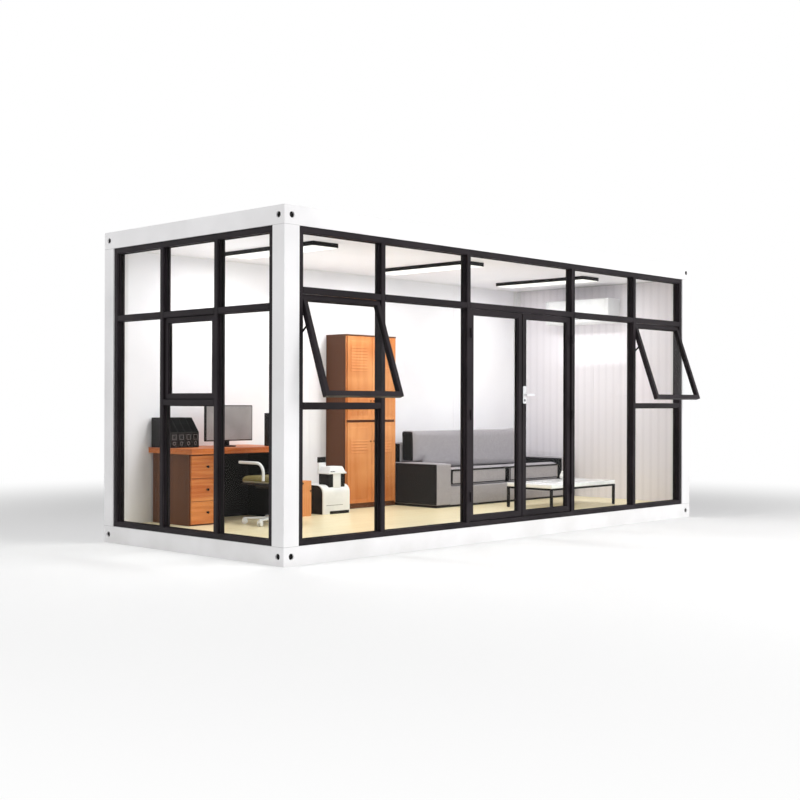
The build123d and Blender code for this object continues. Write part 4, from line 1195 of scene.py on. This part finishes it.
spans = ((low.y, low.y + CAP), (low.y + CAP + SEAM, high.y - CAP - SEAM), (high.y - CAP, high.y))
casing = [rounded(prism(cooler_outline(0.0), 1, *span), 0.0025, 2, 50) for span in spans]
done(joined(casing), "cooler_casing", "white_plastic", stands_for=["air_conditioner"])
done(prism(cooler_outline(0.004), 1, low.y + 0.01, high.y - 0.01), "cooler_core", "screen_grey")
centre = (low.x + 0.062, low.z + 0.062)
lip = arc(centre, 0.0625, 192, 262, 10) + arc(centre, 0.0605, 262, 192, 10)
slit = arc(centre, 0.0628, 186, 190.5, 2) + arc(centre, 0.058, 190.5, 186, 2)
done(prism(slit, 1, low.y + CAP + 0.02, high.y - CAP - 0.02), "cooler_outlet", "black_plastic")
flap = rounded(prism(lip, 1, low.y + CAP + 0.02, high.y - CAP - 0.02), 0.0006, 1, 50)
done(flap, "cooler_flap", "white_plastic")
slot_bar = block((low.x + 0.04, low.y + CAP + 0.03, high.z - 0.0006), (high.x - 0.03, low.y + CAP + 0.037, high.z))
slots = copies(slot_bar, [(0, 0.0128 * i, 0) for i in range(56)])
done(slots, "cooler_inlet", "black_plastic")

# %% [markdown]
# Each ceiling lamp is a slim black tray with a softly rounded cover below it, so its side reads
# as one black line and its underside as a white one.

# %% Ceiling lamps
low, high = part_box("lamp_diffusers")
tray_low, tray_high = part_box("lamp_housings")
trays, covers = [], []
for x in (-2.0, 0.0, 2.0):
    tray = block((x - 0.15, tray_low.y, tray_low.z), (x + 0.15, tray_high.y, tray_high.z))
    sunk(tray, (0, 0, -1), 0.009, 0.002)
    trays.append(rounded(tray, 0.0015, 2))
    covers.append(soft_block((x - 0.14, low.y, low.z), (x + 0.14, high.y, high.z + 0.002), 0.0014, 2))
done(joined(trays), "lamp_trays", "black_metal", crease=25, stands_for=["lamp_housings"])
done(joined(covers), "lamp_covers", "lamp_white", stands_for=["lamp_diffusers"])

# %% [markdown]
# The flat screen is a thin case with a bezel round a sunk face. It stands on a horseshoe foot,
# which is an arc outline pulled upwards by the thickness of the foot.

# %% Screen and slim computer
low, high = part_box("desk_screen")
depth = (low.y + high.y) / 2
case_low, case_high = Vector((low.x, depth - 0.041, low.z + 0.055)), Vector((high.x, depth - 0.011, high.z))
case = soft_block(case_low, case_high, 0.004, 2)
bulge = block((low.x + 0.08, depth - 0.014, low.z + 0.1), (high.x - 0.08, depth + 0.006, high.z - 0.05))
pick_faces(bulge, lambda middle, normal: normal.y > 0.9)
bpy.ops.transform.resize(value=(0.86, 1, 0.8))
close_edit()
x = (low.x + high.x) / 2
neck = soft_block((x - 0.025, depth - 0.011, low.z + 0.004), (x + 0.025, depth + 0.011, low.z + 0.2), 0.004)
horseshoe = arc((x, depth + 0.02), 0.1, 160, 380, 24) + arc((x, depth + 0.02), 0.074, 380, 160, 24)
foot = prism(horseshoe, 2, low.z, low.z + 0.012)
bridge = soft_block((x - 0.035, depth - 0.078, low.z), (x + 0.035, depth + 0.03, low.z + 0.01), 0.002)
screen = joined([case, rounded(bulge, 0.004), neck, rounded(foot, 0.003, 2, 50), bridge])
done(screen, "screen_case", "black_plastic", stands_for=["desk_screen"])
face = block((case_low.x + 0.009, case_low.y - 0.0006, case_low.z + 0.011),
             (case_high.x - 0.009, case_low.y + 0.004, case_high.z - 0.009))
done(rounded(face, 0.0004, 1), "screen_face", "screen_grey")
low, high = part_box("slim_computer")
done(soft_block(low, high, 0.004, 3), "computer_case", "black_plastic", stands_for=["slim_computer"])
stripe = block((low.x + 0.012, low.y - 0.0005, low.z + 0.02), (low.x + 0.03, low.y + 0.002, high.z - 0.02))
key = disc(0.007, 0.003, (low.x + 0.07, low.y, high.z - 0.04), "Y", 20)
drive = soft_block((low.x + 0.04, low.y - 0.0005, high.z - 0.09), (high.x - 0.012, low.y + 0.003, high.z - 0.078),
                   0.0008, 1)
done(joined([rounded(stripe, 0.0008, 1), key, drive]), "computer_trim", "screen_grey")

# %% [markdown]
# A file holder is folded from one dark board. Each gets a finger hole rim and a card frame on
# its front, and a thin strip on the slanted top of each side.

# %% File holders
low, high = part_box("file_holders")
HOLDERS, HOLDER_STEP = 4, 0.08
FINGER_RIM = [(0.013, 0), (0.013, 0.0012), (0.0165, 0.0012), (0.0165, 0)]
rims = []
for i in range(HOLDERS):
    x = low.x + 0.038 + HOLDER_STEP * i
    rims.append(spun(FINGER_RIM, (x, low.y + 0.0004, low.z + 0.04), "Y", 24))
    rims.append(ring(Vector((x - 0.022, low.y - 0.0008, low.z + 0.075)),
                     Vector((x + 0.022, low.y + 0.001, low.z + 0.12)), 1, 0.003))
done(joined(rims), "file_holder_rims", "screen_grey")
slanted = [(low.y, low.z + 0.139), (low.y + 0.11, high.z - 0.001), (high.y - 0.002, high.z - 0.001),
           (high.y - 0.002, high.z), (low.y + 0.1095, high.z), (low.y, low.z + 0.14)]
slats = []
for i in range(HOLDERS):
    for x in (low.x + HOLDER_STEP * i, low.x + HOLDER_STEP * i + 0.073):
        slats.append(prism(slanted, 0, x, x + 0.003))
done(joined(slats), "file_holder_edges", "black_plastic")

# %% [markdown]
# The chair stands on a white star foot whose legs taper towards the castors. A castor is a pair
# of wheels under a hood. The column, the pan under the seat and the spine are black.

# %% Office chair
low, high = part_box("chair_frame")
seat_low, seat_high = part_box("chair_seat")
back_low, back_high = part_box("chair_back")
axis_x, axis_y = (seat_low.x + seat_high.x) / 2, (seat_low.y + seat_high.y) / 2
FOOT_Z = low.z + 0.046
legs, castors = [], []
for i in range(5):
    angle = math.radians(60 + i * 72)
    leg = block((0.02, -0.017, 0), (0.26, 0.017, 0.024))
    for vertex in leg.data.vertices:
        if vertex.co.x > 0.1:
            vertex.co.y *= 0.62
            vertex.co.z *= 0.7
    rounded(leg, 0.005, 3)
    hood = soft_block((0.226, -0.014, -0.012), (0.27, 0.014, 0.006), 0.006, 3)
    wheels = [rounded(disc(0.027, 0.014, (0.2465, side * 0.0125, -0.019), "Y", 28), 0.003, 2) for side in (-1, 1)]
    for piece, group in ((leg, legs), (hood, legs), (wheels[0], castors), (wheels[1], castors)):
        turned(piece, angle, (0, 0, 0), "Z")
        piece.data.transform(Matrix.Translation((axis_x, axis_y, FOOT_Z)))
        group.append(piece)
hub = spun([(0, 0), (0.036, 0), (0.038, 0.004), (0.034, 0.024), (0.029, 0.036), (0, 0.036)],
           (axis_x, axis_y, FOOT_Z), "Z", 32)
done(joined(legs + [hub]), "chair_star", "white_plastic", stands_for=["chair_frame"])
done(joined(castors), "chair_castors", "white_plastic")
seat_z = seat_low.z
tall = seat_z - FOOT_Z
column = [(0, 0.03), (0.025, 0.03), (0.025, tall - 0.2), (0.0245, tall - 0.198), (0.014, tall - 0.195),
          (0.014, tall - 0.012), (0, tall - 0.012)]
spine_y = back_low.y - 0.014
black = [spun(column, (axis_x, axis_y, FOOT_Z), "Z", 28)]
for corner, far_corner, soft_edge, segments in (
        ((axis_x - 0.11, axis_y - 0.12, seat_z - 0.045), (axis_x + 0.11, axis_y + 0.1, seat_z - 0.002), 0.012, 3),
        ((seat_low.x + 0.012, seat_low.y + 0.012, seat_z - 0.014),
         (seat_high.x - 0.012, seat_high.y - 0.012, seat_z + 0.004), 0.006, 2),
        ((axis_x - 0.03, spine_y, seat_z - 0.012),
         (axis_x + 0.03, back_low.y, (back_low.z + back_high.z) / 2), 0.004, 2)):
    black.append(soft_block(corner, far_corner, soft_edge, segments))
done(joined(black), "chair_pan_and_spine", "black_plastic")
arm_low, arm_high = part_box("chair_arms")
pads = [soft_block((x - 0.0128, arm_high.y - 0.24, arm_high.z - 0.016), (x + 0.0128, arm_high.y - 0.01, arm_high.z),
                   0.006, 3) for x in (arm_low.x + 0.013, arm_high.x - 0.013)]
done(joined(pads), "chair_arm_pads", "white_plastic")

# %% [markdown]
# The coffee table has a thick lacquered slab with softened edges on a thin black frame of
# square bar. The legs end in small glides. The vase is a smooth profile on a lathe, and hollow.

# %% Coffee table and vase
low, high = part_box("coffee_table_top")
done(soft_block(low, high, 0.006, 4), "table_slab", "white_lacquer", stands_for=["coffee_table_top"])
low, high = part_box("coffee_table_frame")
LEG, RIM, GLIDE = 0.025, 0.02, 0.004
bars = []
for x in (low.x, high.x - LEG):
    bars.append(block((x, low.y + LEG, high.z - RIM), (x + LEG, high.y - LEG, high.z)))
    for y in (low.y, high.y - LEG):
        bars.append(block((x, y, low.z + GLIDE), (x + LEG, y + LEG, high.z)))
        bars.append(disc(0.011, GLIDE, (x + LEG / 2, y + LEG / 2, low.z + GLIDE / 2), "Z", 20))
for y in (low.y, high.y - LEG):
    bars.append(block((low.x + LEG, y, high.z - RIM), (high.x - LEG, y + LEG, high.z)))
done(joined([rounded(bar, 0.0012, 2) for bar in bars]), "table_frame_bars", "black_metal",
     stands_for=["coffee_table_frame"])
low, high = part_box("vase")
tall = high.z - low.z
outer = [(0, 0), (0.017, 0), (0.0185, 0.001), (0.027, 0.012), (0.0335, 0.022), (0.036, 0.031), (0.0345, 0.041),
         (0.029, 0.053), (0.0225, 0.066), (0.018, 0.078), (0.0165, 0.086), (0.0168, tall - 0.001), (0.0155, tall),
         (0.014, tall - 0.001)]
inner = [(0.0138, 0.086), (0.015, 0.077), (0.0198, 0.065), (0.026, 0.053), (0.0315, 0.041), (0.033, 0.031),
         (0.03, 0.022), (0.02, 0.008), (0, 0.005)]
centre = ((low.x + high.x) / 2, (low.y + high.y) / 2, low.z)
done(spun(outer + inner, centre, "Z", 48), "vase_body", "white_glaze", stands_for=["vase"])

# %% [markdown]
# The low cabinet is one case with a framed door. The roof, which only shows from above, gets
# the screws that hold its ribbed sheet, in rows across every second rib.

# %% Low cabinet and roof screws
low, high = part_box("low_cabinet")
case = block(low, high)
sunk(case, (0, -1, 0), 0.03, 0.004)
done(rounded(case, 0.0025, 2, 25), "low_cabinet_case", "orange_wood", crease=20, stands_for=["low_cabinet"])
knob = spun(SMALL_KNOB, (high.x - 0.015, low.y + 0.001, high.z - 0.1), "Y", 16)
done(knob, "low_cabinet_knob", "black_metal")
low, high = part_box("roof_panel")
SCREW = [(0, 0.0), (0.0, 0.0055), (0.005, 0.005), (0.0055, 0.002), (0.01, 0.0015), (0.01, 0.0)]
screw = spun(SCREW, (0, 0, 0), "Z", 10)
ROOF_RIB = 0.25
ribs = [ROOF_RIB * i for i in range(-11, 12)]
spots = [(x, low.y + 0.06 + (high.y - low.y - 0.12) * j / 6, high.z) for x in ribs for j in range(7)]
done(copies(screw, spots), "roof_screws", "galvanised_steel")
